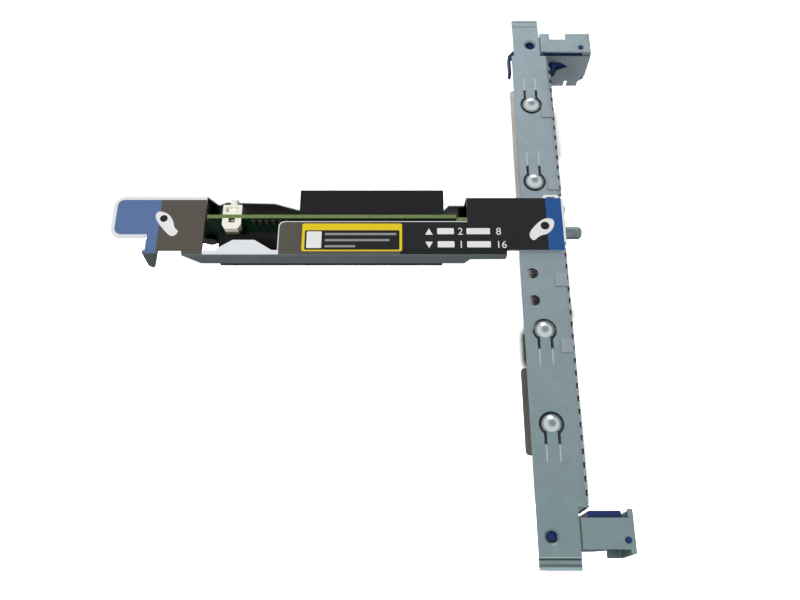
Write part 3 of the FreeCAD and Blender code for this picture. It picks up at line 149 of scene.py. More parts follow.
# Ends of the films' fields along the arm
HANDLE_FRONT = -74 * MM
HANDLE_REAR = -67.5 * MM
OPENING_FRONT = -50.1 * MM
OPENING_REAR = -21.2 * MM
DUSTY_MIDDLE = 2 * MM
DUSTY_FADE = 26 * MM
DUSTY_REAR = 25 * MM
LIP_REAR = 66 * MM
BLUE_FRONT = 81.4 * MM

# Bottom and top of the levers' pads in millimetres
PAD_HEIGHTS = (25.2, 26.6)

# Stage: share of white that the world and the floor give to matt surfaces, to mirrors and to the eye
WORLD_FILL, WORLD_WHITE = 0.03, 1.0
FLOOR_FILL, FLOOR_MIRRORED, FLOOR_WHITE = 0.06, 0.5, 1.5
FLOOR_REACH = 4.0
FLOOR_GAP = 0.5 * MM


def shade(red, green, blue):
    """Linear colour of a display colour given from 0 to 255."""
    part = np.array((red, green, blue)) / 255.0
    linear = np.where(part <= 0.04045, part / 12.92, ((part + 0.055) / 1.055) ** 2.4)
    return tuple(float(value) for value in linear)


def length(name, description, default):
    """A length property in metres."""
    return FloatProperty(name=name, description=description, default=default, min=0.0,
                         unit="LENGTH", subtype="DISTANCE", precision=5)


def colour(name, description, red, green, blue):
    """A colour property given by its display colour."""
    return FloatVectorProperty(name=name, description=description, subtype="COLOR", size=3,
                               min=0.0, max=1.0, default=shade(red, green, blue))


class RiserSizes(bpy.types.PropertyGroup):
    """Sizes of the fine detail"""

    sheet_edge: length("Sheet edge", "Rounding of the folded sheet's edges", 0.00012)
    moulded_edge: length("Moulded edge", "Rounding of the moulded pieces' edges", 0.0002)
    ink: length("Ink", "Thickness of one printed layer", 0.00002)
    crease_length: length("Crease length", "Length of a coined crease beside a spring tongue", 0.0067)
    crease_width: length("Crease width", "Width of a coined crease", 0.0006)
    crease_height: length("Crease height", "Height of a coined crease", 0.00005)


class RiserColours(bpy.types.PropertyGroup):
    """Colours of the finishes and prints"""

    galvanised: colour("Galvanised steel", "Rear strip and latch housings", 147, 160, 168)
    galvanised_low: colour("Galvanised steel, low end", "Rear strip towards its longer end", 128, 147, 149)
    bright: colour("Bright steel", "Arm's sheet", 226, 229, 231)
    # Painted shade on the arm's own sheet: the lip gets this colour, the hook and the web's inner face
    # darker tones of it
    lip: colour("Lip", "Arm's lip and hook, which are duller", 112, 123, 125)
    spring: colour("Spring steel", "Finger strips", 148, 159, 165)
    blue_plastic: colour("Blue plastic", "Latch levers", 10, 36, 86)
    board: colour("Board", "Faces of the riser board", 14, 36, 26)
    board_edge: colour("Board edge", "Cut edge of the riser board", 116, 136, 86)
    black_plastic: colour("Black plastic", "Card sockets", 28, 28, 28)
    nylon: colour("Nylon", "Board clip", 250, 248, 236)
    film_blue: colour("Film blue", "Blue fields of the films", 40, 84, 146)
    handle_blue: colour("Handle blue", "Blue field on the handle", 92, 116, 160)
    film_grey: colour("Film grey", "Grey field of the front film", 86, 82, 75)
    film_dusty: colour("Film grey-brown", "Paler front end of the rear film", 86, 84, 76)
    film_black: colour("Film black", "Dark field of the rear film", 22, 23, 25)
    ink_yellow: colour("Yellow ink", "Framed field", 232, 206, 40)
    ink_white: colour("White ink", "Marks and boxes", 236, 237, 236)
    ink_grey: colour("Grey ink", "Lines in the framed field", 150, 150, 146)


def add(tree, kind, inputs=None, **settings):
    """Adds a node to a tree; an input given as a socket is linked, and one given as a value is set."""
    node = tree.nodes.new(kind)
    for name, setting in settings.items():
        setattr(node, name, setting)
    for name, given in (inputs or {}).items():
        if isinstance(given, bpy.types.NodeSocket):
            tree.links.new(given, node.inputs[name])
        else:
            node.inputs[name].default_value = given
    return node


def math_node(tree, operation, first, second):
    """Result of a two-value sum, product or comparison."""
    return add(tree, "ShaderNodeMath", {0: first, 1: second}, operation=operation).outputs[0]


def blend_colours(tree, mask, first, second):
    """Colour between first, where the mask is 0, and second, where it is 1."""
    mix = add(tree, "ShaderNodeMix", {0: mask}, data_type="RGBA")
    for place, given in ((6, first), (7, second)):
        if isinstance(given, bpy.types.NodeSocket):
            tree.links.new(given, mix.inputs[place])
        else:
            mix.inputs[place].default_value = (*given, 1.0)
    return mix.outputs[2]


def spread(tree, source, low, high):
    """A value from 0 to 1 stretched between low and high."""
    return add(tree, "ShaderNodeMapRange", {0: source, 3: low, 4: high}).outputs[0]


def times(base, factor):
    """A colour made lighter or darker."""
    return tuple(min(1.0, part * factor) for part in base)


def new_group(name, inputs, outputs):
    """An empty shader group with named value sockets; inputs are names with defaults."""
    group = bpy.data.node_groups.new(name, "ShaderNodeTree")
    for label, default in inputs:
        kind = "NodeSocketFloat" if isinstance(default, float) else "NodeSocketVector"
        socket = group.interface.new_socket(label, in_out="INPUT", socket_type=kind)
        socket.default_value = default
    for label in outputs:
        group.interface.new_socket(label, in_out="OUTPUT", socket_type="NodeSocketFloat")
    return group, group.nodes.new("NodeGroupInput"), group.nodes.new("NodeGroupOutput")


def mottle_group():
    """Cloudy tone from 0 to 1: coarse noise and finer noise added, stretched to the full range."""
    group, given, result = new_group("Mottle", [("Scale", 300.0), ("Stretch", (1.0, 1.0, 1.0))], ["Tone"])
    place = add(group, "ShaderNodeTexCoord").outputs["Object"]
    stretched = add(group, "ShaderNodeVectorMath", {0: place, 1: given.outputs["Stretch"]},
                    operation="MULTIPLY").outputs[0]
    coarse = add(group, "ShaderNodeTexNoise",
                 {"Vector": stretched, "Scale": given.outputs["Scale"], "Detail": 3.0}).outputs[0]
    finer = math_node(group, "MULTIPLY", given.outputs["Scale"], 5.3)
    fine = add(group, "ShaderNodeTexNoise", {"Vector": stretched, "Scale": finer, "Detail": 2.0}).outputs[0]
    both = math_node(group, "ADD", math_node(group, "MULTIPLY", coarse, 0.6),
                     math_node(group, "MULTIPLY", fine, 0.4))
    tone = add(group, "ShaderNodeMapRange", {0: both, 1: 0.32, 2: 0.68}).outputs[0]
    group.links.new(tone, result.inputs["Tone"])
    return group


def band_group():
    """Mask that is 1 between two values, with a soft edge on each side."""
    group, given, result = new_group(
        "Band", [("Value", 0.0), ("Low", 0.0), ("High", 1.0), ("Soft", 0.0001)], ["Mask"])
    sides = []
    for edge in ("Low", "High"):
        outer = math_node(group, "SUBTRACT", given.outputs[edge], given.outputs["Soft"])
        inner = math_node(group, "ADD", given.outputs[edge], given.outputs["Soft"])
        sides.append(add(group, "ShaderNodeMapRange", {0: given.outputs["Value"], 1: outer, 2: inner},
                         interpolation_type="SMOOTHSTEP").outputs[0])
    group.links.new(math_node(group, "SUBTRACT", sides[0], sides[1]), result.inputs["Mask"])
    return group


def shared_group(name, build):
    """The named group, built at its first use."""
    return bpy.data.node_groups.get(name) or build()


def tone_of(tree, scale, stretch=(1.0, 1.0, 1.0)):
    """Cloudy tone from 0 to 1 with that many clouds to a metre."""
    node = add(tree, "ShaderNodeGroup", node_tree=shared_group("Mottle", mottle_group))
    node.inputs["Scale"].default_value = scale
    node.inputs["Stretch"].default_value = stretch
    return node.outputs["Tone"]


def band_of(tree, value, low, high, soft=0.00005):
    """Mask of a stretch along one coordinate."""
    node = add(tree, "ShaderNodeGroup", node_tree=shared_group("Band", band_group))
    tree.links.new(value, node.inputs["Value"])
    node.inputs["Low"].default_value = low
    node.inputs["High"].default_value = high
    node.inputs["Soft"].default_value = soft
    return node.outputs["Mask"]


def both(tree, first, second):
    """Mask of the places that two masks share."""
    return math_node(tree, "MULTIPLY", first, second)


def place_axes(tree):
    """The three Object coordinates."""
    coordinates = add(tree, "ShaderNodeTexCoord").outputs["Object"]
    return add(tree, "ShaderNodeSeparateXYZ", {0: coordinates}).outputs


def new_material(name, **constants):
    """A material with its Principled shader's plain values set."""
    material = bpy.data.materials.new(name)
    material.use_nodes = True
    tree = material.node_tree
    surface = tree.nodes["Principled BSDF"]
    for label, constant in constants.items():
        surface.inputs[label.replace("_", " ")].default_value = constant
    return material, tree, surface


def relief(tree, surface, height, distance, strength=0.5):
    """Bump of that depth in metres."""
    bump = add(tree, "ShaderNodeBump", {"Height": height, "Distance": distance, "Strength": strength})
    tree.links.new(bump.outputs[0], surface.inputs["Normal"])


def galvanised_steel(base, low_end):
    """Zinc-coated sheet: cloudy grey with fine grain, polished on the domes, which get a painted reflection,
    and painted shade on the slot walls.

    The feet get painted warm light on the short side, painted warm shade on the long side and painted shade
    under the plate; the stepped end lips have painted lines of shade and highlight.
    """
    material, tree, surface = new_material("zinc_sheet", Metallic=1.0)
    axes = place_axes(tree)
    clouds = tone_of(tree, 220.0)
    grain = tone_of(tree, 1500.0)
    high = blend_colours(tree, clouds, times(base, 0.9), times(base, 1.08))
    low = blend_colours(tree, clouds, times(low_end, 0.9), times(low_end, 1.08))
    start, end = TONE_CHANGE
    along = add(tree, "ShaderNodeMapRange", {0: axes[1], 1: start, 2: end}).outputs[0]
    sheet = blend_colours(tree, along, low, high)
    sheet = blend_colours(tree, math_node(tree, "MULTIPLY", grain, 0.25), sheet, times(low_end, 0.8))

    feet = both(tree, band_of(tree, axes[0], BEFORE, FEET_REAR), band_of(tree, axes[1], *FEET_ALONG))
    feet = both(tree, feet, band_of(tree, axes[2], BEFORE, FEET_TOP))
    # Painted light on the feet of the short side and painted shade on those of the long side, both in warm
    # colours
    short_side = band_of(tree, axes[1], 0.0, PAST)
    feet_lit_and_shaded = blend_colours(tree, short_side, shade(142, 140, 128), shade(246, 241, 232))
    sheet = blend_colours(tree, feet, sheet, feet_lit_and_shaded)
    # Painted shade on the feet where they lie under the plate
    feet_shade_under_plate = both(tree, feet, band_of(tree, axes[0], FEET_SHADE_FROM, PAST, 0.3 * MM))
    sheet = blend_colours(tree, feet_shade_under_plate, sheet, times(base, 0.3))

    # Painted shade on the walls of the slots
    slots = both(tree, band_of(tree, axes[0], *SLOTS_ACROSS), band_of(tree, axes[1], *SLOTS_ALONG))
    slot_wall_shade = both(tree, slots, band_of(tree, axes[2], *SLOT_WALLS, 0.02 * MM))
    sheet = blend_colours(tree, slot_wall_shade, sheet, times(base, 0.05))
    # Painted shade and highlight lines across the stepped end lips
    for start, end, factor in END_SHADE_AND_HIGHLIGHT:
        line = band_of(tree, axes[1], start * MM, end * MM)
        sheet = blend_colours(tree, line, sheet, times(low_end, factor))

    raised = band_of(tree, axes[2], DOME_FOOT, PAST, 0.2 * MM)
    crown = band_of(tree, axes[2], DOME_CROWN, PAST, 0.2 * MM)
    # Painted reflection on the domes: bright on their sides, darker on their crowns
    dome_reflection = blend_colours(tree, crown, shade(198, 204, 205), times(base, 0.75))
    tree.links.new(blend_colours(tree, raised, sheet, dome_reflection), surface.inputs["Base Color"])
    rough = spread(tree, clouds, 0.42, 0.52)
    polished = math_node(tree, "MULTIPLY", raised, 0.14)
    tree.links.new(math_node(tree, "SUBTRACT", rough, polished), surface.inputs["Roughness"])
    relief(tree, surface, grain, 0.00001)
    return material


def bright_steel(base, lip, wraps):
    """Rolled sheet with fine lines along the arm, a rougher lip, painted shade on the lip, the hook and the
    web's inner face, and films that wrap over the bend.

    Each wrap is a stretch along the arm with its own colour.
    """
    material, tree, surface = new_material("rolled_sheet", Specular_IOR_Level=0.2)
    axes = place_axes(tree)
    lines = tone_of(tree, 260.0, (0.15, 4.0, 4.0))
    clouds = tone_of(tree, 160.0)
    sheet = blend_colours(tree, lines, times(base, 0.93), times(base, 1.03))
    lip_shade_tone = blend_colours(tree, clouds, times(lip, 0.88), times(lip, 1.12))
    edge = both(tree, band_of(tree, axes[1], BEFORE, LIP_FACE), band_of(tree, axes[2], BEFORE, BEND_LOW))
    inner = both(tree, band_of(tree, axes[1], *WEB_INSIDE), band_of(tree, axes[2], BEFORE, WEB_HIGH))
    hook = both(tree, edge, band_of(tree, axes[0], BEFORE, HOOK_REAR))
    # Painted shade on the lip's face
    finish = blend_colours(tree, edge, sheet, lip_shade_tone)
    # Painted shade on the web's inner face
    finish = blend_colours(tree, inner, finish, times(lip, 0.22))
    # Painted shade on the hook
    finish = blend_colours(tree, hook, finish, times(lip, 0.32))
    bend = both(tree, band_of(tree, axes[1], BEFORE, LIP_BEND), band_of(tree, axes[2], BEND_LOW, PAST))
    metal = 1.0
    for start, end, tint in wraps:
        wrapped = both(tree, bend, band_of(tree, axes[0], start, end))
        finish = blend_colours(tree, wrapped, finish, tint)
        metal = math_node(tree, "SUBTRACT", metal, wrapped)
    tree.links.new(metal, surface.inputs["Metallic"])
    tree.links.new(finish, surface.inputs["Base Color"])
    rough = spread(tree, clouds, 0.26, 0.36)
    duller = math_node(tree, "MULTIPLY", edge, 0.12)
    tree.links.new(math_node(tree, "ADD", rough, duller), surface.inputs["Roughness"])
    relief(tree, surface, lines, 0.000006)
    return material


def spring_steel(name, base, node_name):
    """Thin spring sheet with faint rolling lines, shaded beside the slit of each finger."""
    material, tree, surface = new_material(name, Metallic=1.0)
    lines = tone_of(tree, 400.0, (4.0, 0.2, 4.0))
    axes = place_axes(tree)
    low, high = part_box(node_name)
    spare = ((high.y - low.y) % FINGER_PITCH + FINGER_PITCH) / 2
    along = math_node(tree, "SUBTRACT", axes[1], low.y + spare - FINGER_PITCH / 2)
    finger = math_node(tree, "FLOORED_MODULO", along, FINGER_PITCH)
    slit = FINGER_PITCH / 2
    gaps = band_of(tree, finger, slit - SLIT_SHADE, slit + SLIT_SHADE, 0.1 * MM)
    shaded = both(tree, gaps, band_of(tree, axes[0], high.x - SLIT_DEPTH, PAST))
    sheet = blend_colours(tree, lines, times(base, 0.9), times(base, 1.05))
    tree.links.new(blend_colours(tree, shaded, sheet, times(base, 0.06)), surface.inputs["Base Color"])
    tree.links.new(spread(tree, lines, 0.34, 0.44), surface.inputs["Roughness"])
    relief(tree, surface, lines, 0.000005)
    return material


def turned_steel(name, dark, light):
    """Turned fixings: plated steel with fine tool rings."""
    material, tree, surface = new_material(name, Metallic=1.0)
    axes = place_axes(tree)
    clouds = tone_of(tree, 500.0)
    tree.links.new(blend_colours(tree, clouds, dark, light), surface.inputs["Base Color"])
    tree.links.new(spread(tree, clouds, 0.24, 0.38), surface.inputs["Roughness"])
    rings = math_node(tree, "SINE", math_node(tree, "MULTIPLY", axes[0], 26000.0), 0.0)
    relief(tree, surface, rings, 0.000004)
    return material


def blue_plastic(base):
    """Moulded blue plastic with an eroded grain and a faint flow tone."""
    material, tree, surface = new_material("lever_plastic", Specular_IOR_Level=0.4)
    flow = tone_of(tree, 90.0)
    grain = tone_of(tree, 1800.0)
    tree.links.new(blend_colours(tree, flow, times(base, 0.85), times(base, 1.2)),
                   surface.inputs["Base Color"])
    tree.links.new(spread(tree, grain, 0.36, 0.5), surface.inputs["Roughness"])
    relief(tree, surface, grain, 0.00001)
    return material


def black_plastic(base):
    """Glass-filled black plastic: matt grain with paler specks."""
    material, tree, surface = new_material("socket_plastic", Specular_IOR_Level=0.1)
    grain = tone_of(tree, 1600.0)
    tree.links.new(blend_colours(tree, grain, times(base, 0.8), times(base, 1.5)),
                   surface.inputs["Base Color"])
    tree.links.new(spread(tree, grain, 0.45, 0.62), surface.inputs["Roughness"])
    relief(tree, surface, grain, 0.000012)
    return material


def white_nylon(base):
    """Milky nylon with a slightly uneven tone and painted brown shade at its foot."""
    material, tree, surface = new_material("clip_nylon", Specular_IOR_Level=0.4)
    flow = tone_of(tree, 260.0)
    clean = blend_colours(tree, flow, times(base, 0.92), base)
    foot_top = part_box("riser_board")[1].z - 2.4 * MM
    shaded_foot = band_of(tree, place_axes(tree)[2], BEFORE, foot_top, 0.5 * MM)
    # Painted shade on the clip's foot
    tree.links.new(blend_colours(tree, shaded_foot, clean, shade(108, 98, 74)), surface.inputs["Base Color"])
    tree.links.new(spread(tree, flow, 0.38, 0.5), surface.inputs["Roughness"])
    relief(tree, surface, flow, 0.00002)
    return material


def green_board(face, edge):
    """Laminate: green mask over copper runs on the faces, bare olive glass fibre on the cut edge."""
    material, tree, surface = new_material("board_laminate", Specular_IOR_Level=0.06)
    axes = place_axes(tree)
    flat = add(tree, "ShaderNodeCombineXYZ", {0: axes[0], 1: axes[2]}).outputs[0]
    runs = add(tree, "ShaderNodeTexBrick", {
        "Vector": flat, "Scale": 1.0, "Mortar Size": 0.00018, "Mortar Smooth": 0.3,
        "Brick Width": 0.0085, "Row Height": 0.0011}, offset=0.37).outputs["Fac"]
    clouds = tone_of(tree, 420.0)
    mask = blend_colours(tree, runs, times(face, 0.8), times(face, 1.9))
    fibre = blend_colours(tree, clouds, times(edge, 0.8), times(edge, 1.15))
    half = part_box("riser_board")[1].y
    inside = band_of(tree, axes[1], -half + 0.04 * MM, half - 0.04 * MM, 0.02 * MM)
    tree.links.new(blend_colours(tree, inside, mask, fibre), surface.inputs["Base Color"])
    tree.links.new(spread(tree, inside, 0.5, 0.75), surface.inputs["Roughness"])
    relief(tree, surface, runs, 0.00002)
    return material


def plated(name, dark, light, rough):
    """Plated metal such as solder or gold: a cloudy tone with fine pits."""
    material, tree, surface = new_material(name, Metallic=1.0)
    clouds = tone_of(tree, 900.0)
    tree.links.new(blend_colours(tree, clouds, dark, light), surface.inputs["Base Color"])
    tree.links.new(spread(tree, clouds, rough, rough + 0.14), surface.inputs["Roughness"])
    relief(tree, surface, clouds, 0.00001)
    return material


def capacitor_finish():
    """Ceramic body with tinned ends: the ends are the outer parts of each pitch along the board."""
    material, tree, surface = new_material("capacitor_body")
    axes = place_axes(tree)
    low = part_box("board_capacitors")[0]
    along = math_node(tree, "MODULO", math_node(tree, "SUBTRACT", axes[0], low.x), CAPACITOR_PITCH)
    body = band_of(tree, along, 0.35 * MM, 1.25 * MM, 0.03 * MM)
    clouds = tone_of(tree, 900.0)
    ceramic = blend_colours(tree, clouds, shade(44, 37, 31), shade(58, 49, 41))
    tree.links.new(blend_colours(tree, body, shade(66, 68, 67), ceramic), surface.inputs["Base Color"])
    tree.links.new(spread(tree, body, 1.0, 0.0), surface.inputs["Metallic"])
    tree.links.new(spread(tree, clouds, 0.3, 0.45), surface.inputs["Roughness"])
    return material


def film_finish(name, printed, fields, speckle):
    """Printed film: a first colour, fields that each cover it from one place on, and a fine speckle."""
    material, tree, surface = new_material(name, Specular_IOR_Level=0.2)
    axes = place_axes(tree)
    clouds = tone_of(tree, 120.0)
    specks = tone_of(tree, 2600.0)
    for start, tint, soft in fields:
        printed = blend_colours(tree, band_of(tree, axes[0], start, PAST, soft), printed, tint)
    dotted = add(tree, "ShaderNodeMix", {0: 1.0, 6: printed}, data_type="RGBA", blend_type="MULTIPLY")
    tone = spread(tree, specks, 1.0 - speckle, 1.0 + speckle)
    tree.links.new(tone, dotted.inputs[7])
    tree.links.new(dotted.outputs[2], surface.inputs["Base Color"])
    tree.links.new(spread(tree, clouds, 0.42, 0.56), surface.inputs["Roughness"])
    relief(tree, surface, specks, 0.000004)
    return material


def ink_finish(name, base):
    """Screen-printed ink with a slightly uneven cover."""
    material, tree, surface = new_material(name, Specular_IOR_Level=0.2)
    cover = tone_of(tree, 1400.0)
    tree.links.new(blend_colours(tree, cover, times(base, 0.93), times(base, 1.03)),
                   surface.inputs["Base Color"])
    tree.links.new(spread(tree, cover, 0.45, 0.6), surface.inputs["Roughness"])
    relief(tree, surface, cover, 0.000003)
    return material


def paint(node_name, material):
    """Gives a CAD node a finished material in place of its packed one."""
    slots = NODES[node_name].data.materials
    slots.clear()
    slots.append(material)


def grid_faces(rows, columns):
    """Quads between the rows of a grid whose last column joins its first."""
    row, column = np.meshgrid(np.arange(rows - 1), np.arange(columns), indexing="ij")
    right = (column + 1) % columns
    quads = np.stack([row * columns + column, row * columns + right,
                      (row + 1) * columns + right, (row + 1) * columns + column], axis=-1)
    return quads.reshape(-1, 4)


def new_piece(name, points, faces, material, body=CAGE):
    """A mesh piece in the row frame that rides on a body."""
    mesh = bpy.data.meshes.new(name)
    mesh.from_pydata(points, [], faces)
    mesh.materials.append(material)
    piece = bpy.data.objects.new(name, mesh)
    bpy.context.scene.collection.objects.link(piece)
    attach(piece, body)
    return piece


def softened(node_name, edge, material):
    """Copy of a CAD node with its flat faces merged and its edges rounded; it replaces the node."""
    source = NODES[node_name]
    mesh = bpy.data.meshes.new(node_name + "_soft")
    shape = bmesh.new()
    shape.from_mesh(source.data)
    bmesh.ops.remove_doubles(shape, verts=shape.verts, dist=MERGE_GAP)
    bmesh.ops.dissolve_limit(shape, angle_limit=EVEN_ANGLE, verts=shape.verts, edges=shape.edges)
    shape.to_mesh(mesh)
    shape.free()
    mesh.materials.clear()
    mesh.materials.append(material)
    mesh.shade_smooth()
    mesh.set_sharp_from_angle(angle=SHARP_ANGLE)
    piece = bpy.data.objects.new(node_name + "_soft", mesh)
    bpy.context.scene.collection.objects.link(piece)
    rounding = piece.modifiers.new("Soft edges", "BEVEL")
    rounding.width = edge
    rounding.segments = 2
    rounding.limit_method = "ANGLE"
    rounding.angle_limit = ROUNDED_ANGLE
    evened = piece.modifiers.new("Even normals", "WEIGHTED_NORMAL")
    evened.weight = 100
    evened.keep_sharp = True
    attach(piece, source["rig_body"])
    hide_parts(node_name)
    return piece


def rounded_field(x_low, y_low, x_high, y_high, radius):
    """Loop of a rectangle with a quarter circle about the centre of each corner, in millimetres."""
    turn = np.linspace(0.0, math.pi / 2, 6)
    quarter = np.arange(4)[:, None] * math.pi / 2 + turn[None, :]
    centre_x = np.array((x_high - radius, x_low + radius, x_low + radius, x_high - radius))
    centre_y = np.array((y_high - radius, y_high - radius, y_low + radius, y_low + radius))
    x = centre_x[:, None] + radius * np.cos(quarter)
    y = centre_y[:, None] + radius * np.sin(quarter)
    return np.stack([x.ravel(), y.ravel()], axis=-1)


def disc(x, y, radius):
    """Loop of a circle, in millimetres."""
    turn = np.linspace(0.0, 2 * math.pi, 32, endpoint=False)
    return np.stack([x + radius * np.cos(turn), y + radius * np.sin(turn)], axis=-1)


def smooth_loop(corners):
    """Loop through a corner outline with its corners cut three times, each cut at a quarter of the side."""
    loop = np.array(corners, float)
    for _ in range(3):
        after = np.roll(loop, -1, axis=0)
        loop = np.stack([0.75 * loop + 0.25 * after, 0.25 * loop + 0.75 * after], axis=1).reshape(-1, 2)
    return loop


def printed_layer(name, loops, level, material):
    """Thin printed plates: each loop is carried up from the film to its own ink level and capped."""
    ink = bpy.context.scene.riser_sizes.ink
    heights = np.array((FILM_TOP - ink, FILM_TOP + ink * level))
    points, faces, start = [], [], 0
    for loop in loops:
        count = len(loop)
        ring = np.empty((2, count, 3))
        ring[:, :, :2] = loop * MM
        ring[:, :, 2] = heights[:, None]
        points.append(ring.reshape(-1, 3))
        faces.extend((grid_faces(2, count) + start).tolist())
        faces.append(list(range(start + count, start + 2 * count)))
        faces.append(list(range(start + count - 1, start - 1, -1)))
        start += 2 * count
    return new_piece(name, np.concatenate(points), faces, material)


def rounded_plate(name, loop, low, high, slot, material, body):
    """Plate with a rounded outline: the loop at four heights, drawn in at both ends, and capped."""
    centre = loop.mean(axis=0)
    edge, drawn_in = 0.2, 0.94
    rise = np.array((low, low + edge, high - edge, high))
    inset = np.array((drawn_in, 1.0, 1.0, drawn_in))
    count = len(loop)
    rings = np.empty((4, count, 3))
    rings[:, :, :2] = centre + inset[:, None, None] * (loop - centre)
    rings[:, :, 2] = rise[:, None]
    faces = grid_faces(4, count).tolist()
    faces.append(list(range(3 * count, 4 * count)))
    faces.append(list(range(count - 1, -1, -1)))
    return new_piece(name, rings.reshape(-1, 3) * MM, faces, material, body)


def printed_number(name, text, x, y, height, level, material):
    """A plain number made a mesh and laid on the film, with its lower left corner at x, y in millimetres."""
    ink = bpy.context.scene.riser_sizes.ink
    curve = bpy.data.curves.new(name, "FONT")
    curve.body = text
    curve.size = height * MM / FIGURE_SHARE
    curve.extrude = ink
    written = bpy.data.objects.new(name + "_text", curve)
    bpy.context.scene.collection.objects.link(written)
    bpy.context.view_layer.update()
    seen = written.evaluated_get(bpy.context.evaluated_depsgraph_get())
    mesh = bpy.data.meshes.new_from_object(seen)
    bpy.data.objects.remove(written)
    count = len(mesh.vertices)
    points = np.empty(count * 3)
    mesh.vertices.foreach_get("co", points)
    points = points.reshape(-1, 3) + np.array((x * MM, y * MM, FILM_TOP + ink * (level - 1)))
    mesh.vertices.foreach_set("co", points.ravel())
    mesh.materials.clear()
    mesh.materials.append(material)
    piece = bpy.data.objects.new(name, mesh)
    bpy.context.scene.collection.objects.link(piece)
    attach(piece, CAGE)
    return piece


def crease_lines(material):
    """Coined creases beyond the slots of each tongue.

    A flat oval section is carried along the crease: it follows an ellipse round it, and its size falls to
    nothing at both ends as the fourth root of a sine. The points that meet there are merged.
    """
    sizes = bpy.context.scene.riser_sizes
    rows, columns = 17, 12
    along = np.linspace(0.0, 1.0, rows)
    turn = np.linspace(0.0, 2 * math.pi, columns, endpoint=False)
    fade = np.sin(math.pi * along) ** 0.25
    across = fade[:, None] * np.cos(turn)[None, :] * sizes.crease_width / 2
    raised = fade[:, None] * np.sin(turn)[None, :] * sizes.crease_height
    aside = (TONGUE_NECK + TONGUE_SLOT) / 2
    root = TONGUE_DISC + TONGUE_LEG - CREASE_OVERLAP
    points, faces, start = [], [], 0
    for line, place, side in TONGUES:
        for hand in (-1, 1):
            grid = np.empty((rows, columns, 3))
            grid[:, :, 0] = (line + hand * aside) * MM + across
            grid[:, :, 1] = ((place + side * root) * MM + side * along * sizes.crease_length)[:, None]
            grid[:, :, 2] = STRIP_TOP + raised
            quads = grid_faces(rows, columns) + start
            faces.extend((quads if side < 0 else quads[:, ::-1]).tolist())
            points.append(grid.reshape(-1, 3))
            start += rows * columns
    piece = new_piece("tongue_creases", np.concatenate(points), faces, material)
    shape = bmesh.new()
    shape.from_mesh(piece.data)
    bmesh.ops.remove_doubles(shape, verts=shape.verts, dist=0.0001 * MM)
    shape.to_mesh(piece.data)
    shape.free()
    piece.data.shade_smooth()
    return piece


class RISER_OT_rear_bracket(bpy.types.Operator):
    """Rear strip of galvanised sheet with the creases beside its spring tongues"""

    bl_idname = "riser.rear_bracket"
    bl_label = "Rear bracket"

    def execute(self, context):
        colours = context.scene.riser_colours
        material = galvanised_steel(colours.galvanised, colours.galvanised_low)
        softened("rear_bracket", context.scene.riser_sizes.sheet_edge, material)
        crease_lines(plated("coined_crease", shade(164, 174, 178), shade(184, 192, 195), 0.42))
        return {"FINISHED"}


class RISER_OT_latch_housings(bpy.types.Operator):
    """Folded latch housings at the two ends of the strip"""

    bl_idname = "riser.latch_housings"
    bl_label = "Latch housings"

    def execute(self, context):
        material = bpy.data.materials["zinc_sheet"]
        for name in ("latch_housing_upper", "latch_housing_lower"):
            softened(name, context.scene.riser_sizes.sheet_edge, material)
        return {"FINISHED"}


class RISER_OT_arm_bracket(bpy.types.Operator):
    """Folded arm of bright sheet"""

    bl_idname = "riser.arm_bracket"
    bl_label = "Arm bracket"

    def execute(self, context):
        colours = context.scene.riser_colours
        wraps = [(HANDLE_FRONT, HANDLE_REAR, colours.handle_blue),
                 (HANDLE_REAR, OPENING_FRONT, colours.film_grey),
                 (OPENING_REAR, DUSTY_REAR, colours.film_dusty),
                 (DUSTY_REAR, LIP_REAR, colours.film_black)]
        material = bright_steel(colours.bright, colours.lip, wraps)
        softened("arm_bracket", context.scene.riser_sizes.sheet_edge, material)
        return {"FINISHED"}


class RISER_OT_latch_levers(bpy.types.Operator):
    """Moulded blue levers on their pivots"""

    bl_idname = "riser.latch_levers"
    bl_label = "Latch levers"

    def execute(self, context):
        material = blue_plastic(context.scene.riser_colours.blue_plastic)
        for name in ("latch_lever_upper", "latch_lever_lower"):
            softened(name, context.scene.riser_sizes.moulded_edge, material)
        rounded_plate("lever_pad_upper", rounded_field(77.6, 83.6, 83.6, 88.4, 0.8), *PAD_HEIGHTS,
                      "blue_plastic", material, "upper_latch")
        rounded_plate("lever_pad_lower", rounded_field(73.7, -119.6, 79.6, -115.9, 0.8), *PAD_HEIGHTS,
                      "blue_plastic", material, "lower_latch")
        return {"FINISHED"}


class RISER_OT_spring_strips(bpy.types.Operator):
    """Finger strips along the card windows"""

    bl_idname = "riser.spring_strips"
    bl_label = "Spring strips"

    def execute(self, context):
        base = context.scene.riser_colours.spring
        for name in ("spring_strip_upper", "spring_strip_lower"):
            paint(name, spring_steel(name + "_sheet", base, name))
        return {"FINISHED"}


class RISER_OT_board(bpy.types.Operator):
    """Riser board with its contacts, solder tails and capacitors"""

    bl_idname = "riser.board"
    bl_label = "Riser board"

    def execute(self, context):
        colours = context.scene.riser_colours
        paint("riser_board", green_board(colours.board, colours.board_edge))
        paint("edge_contacts", plated("gold_plate", shade(196, 160, 88), shade(224, 190, 118), 0.2))
        solder = plated("tin_solder", shade(176, 178, 178), shade(212, 213, 212), 0.24)
        paint("short_connector_tails", solder)
        paint("long_connector_tails", solder)
        paint("board_capacitors", capacitor_finish())
        return {"FINISHED"}


class RISER_OT_card_sockets(bpy.types.Operator):
    """The two card sockets"""

    bl_idname = "riser.card_sockets"
    bl_label = "Card sockets"

    def execute(self, context):
        material = black_plastic(context.scene.riser_colours.black_plastic)
        for name in ("slot_connector_short", "slot_connector_long"):
            softened(name, context.scene.riser_sizes.moulded_edge, material)
        return {"FINISHED"}


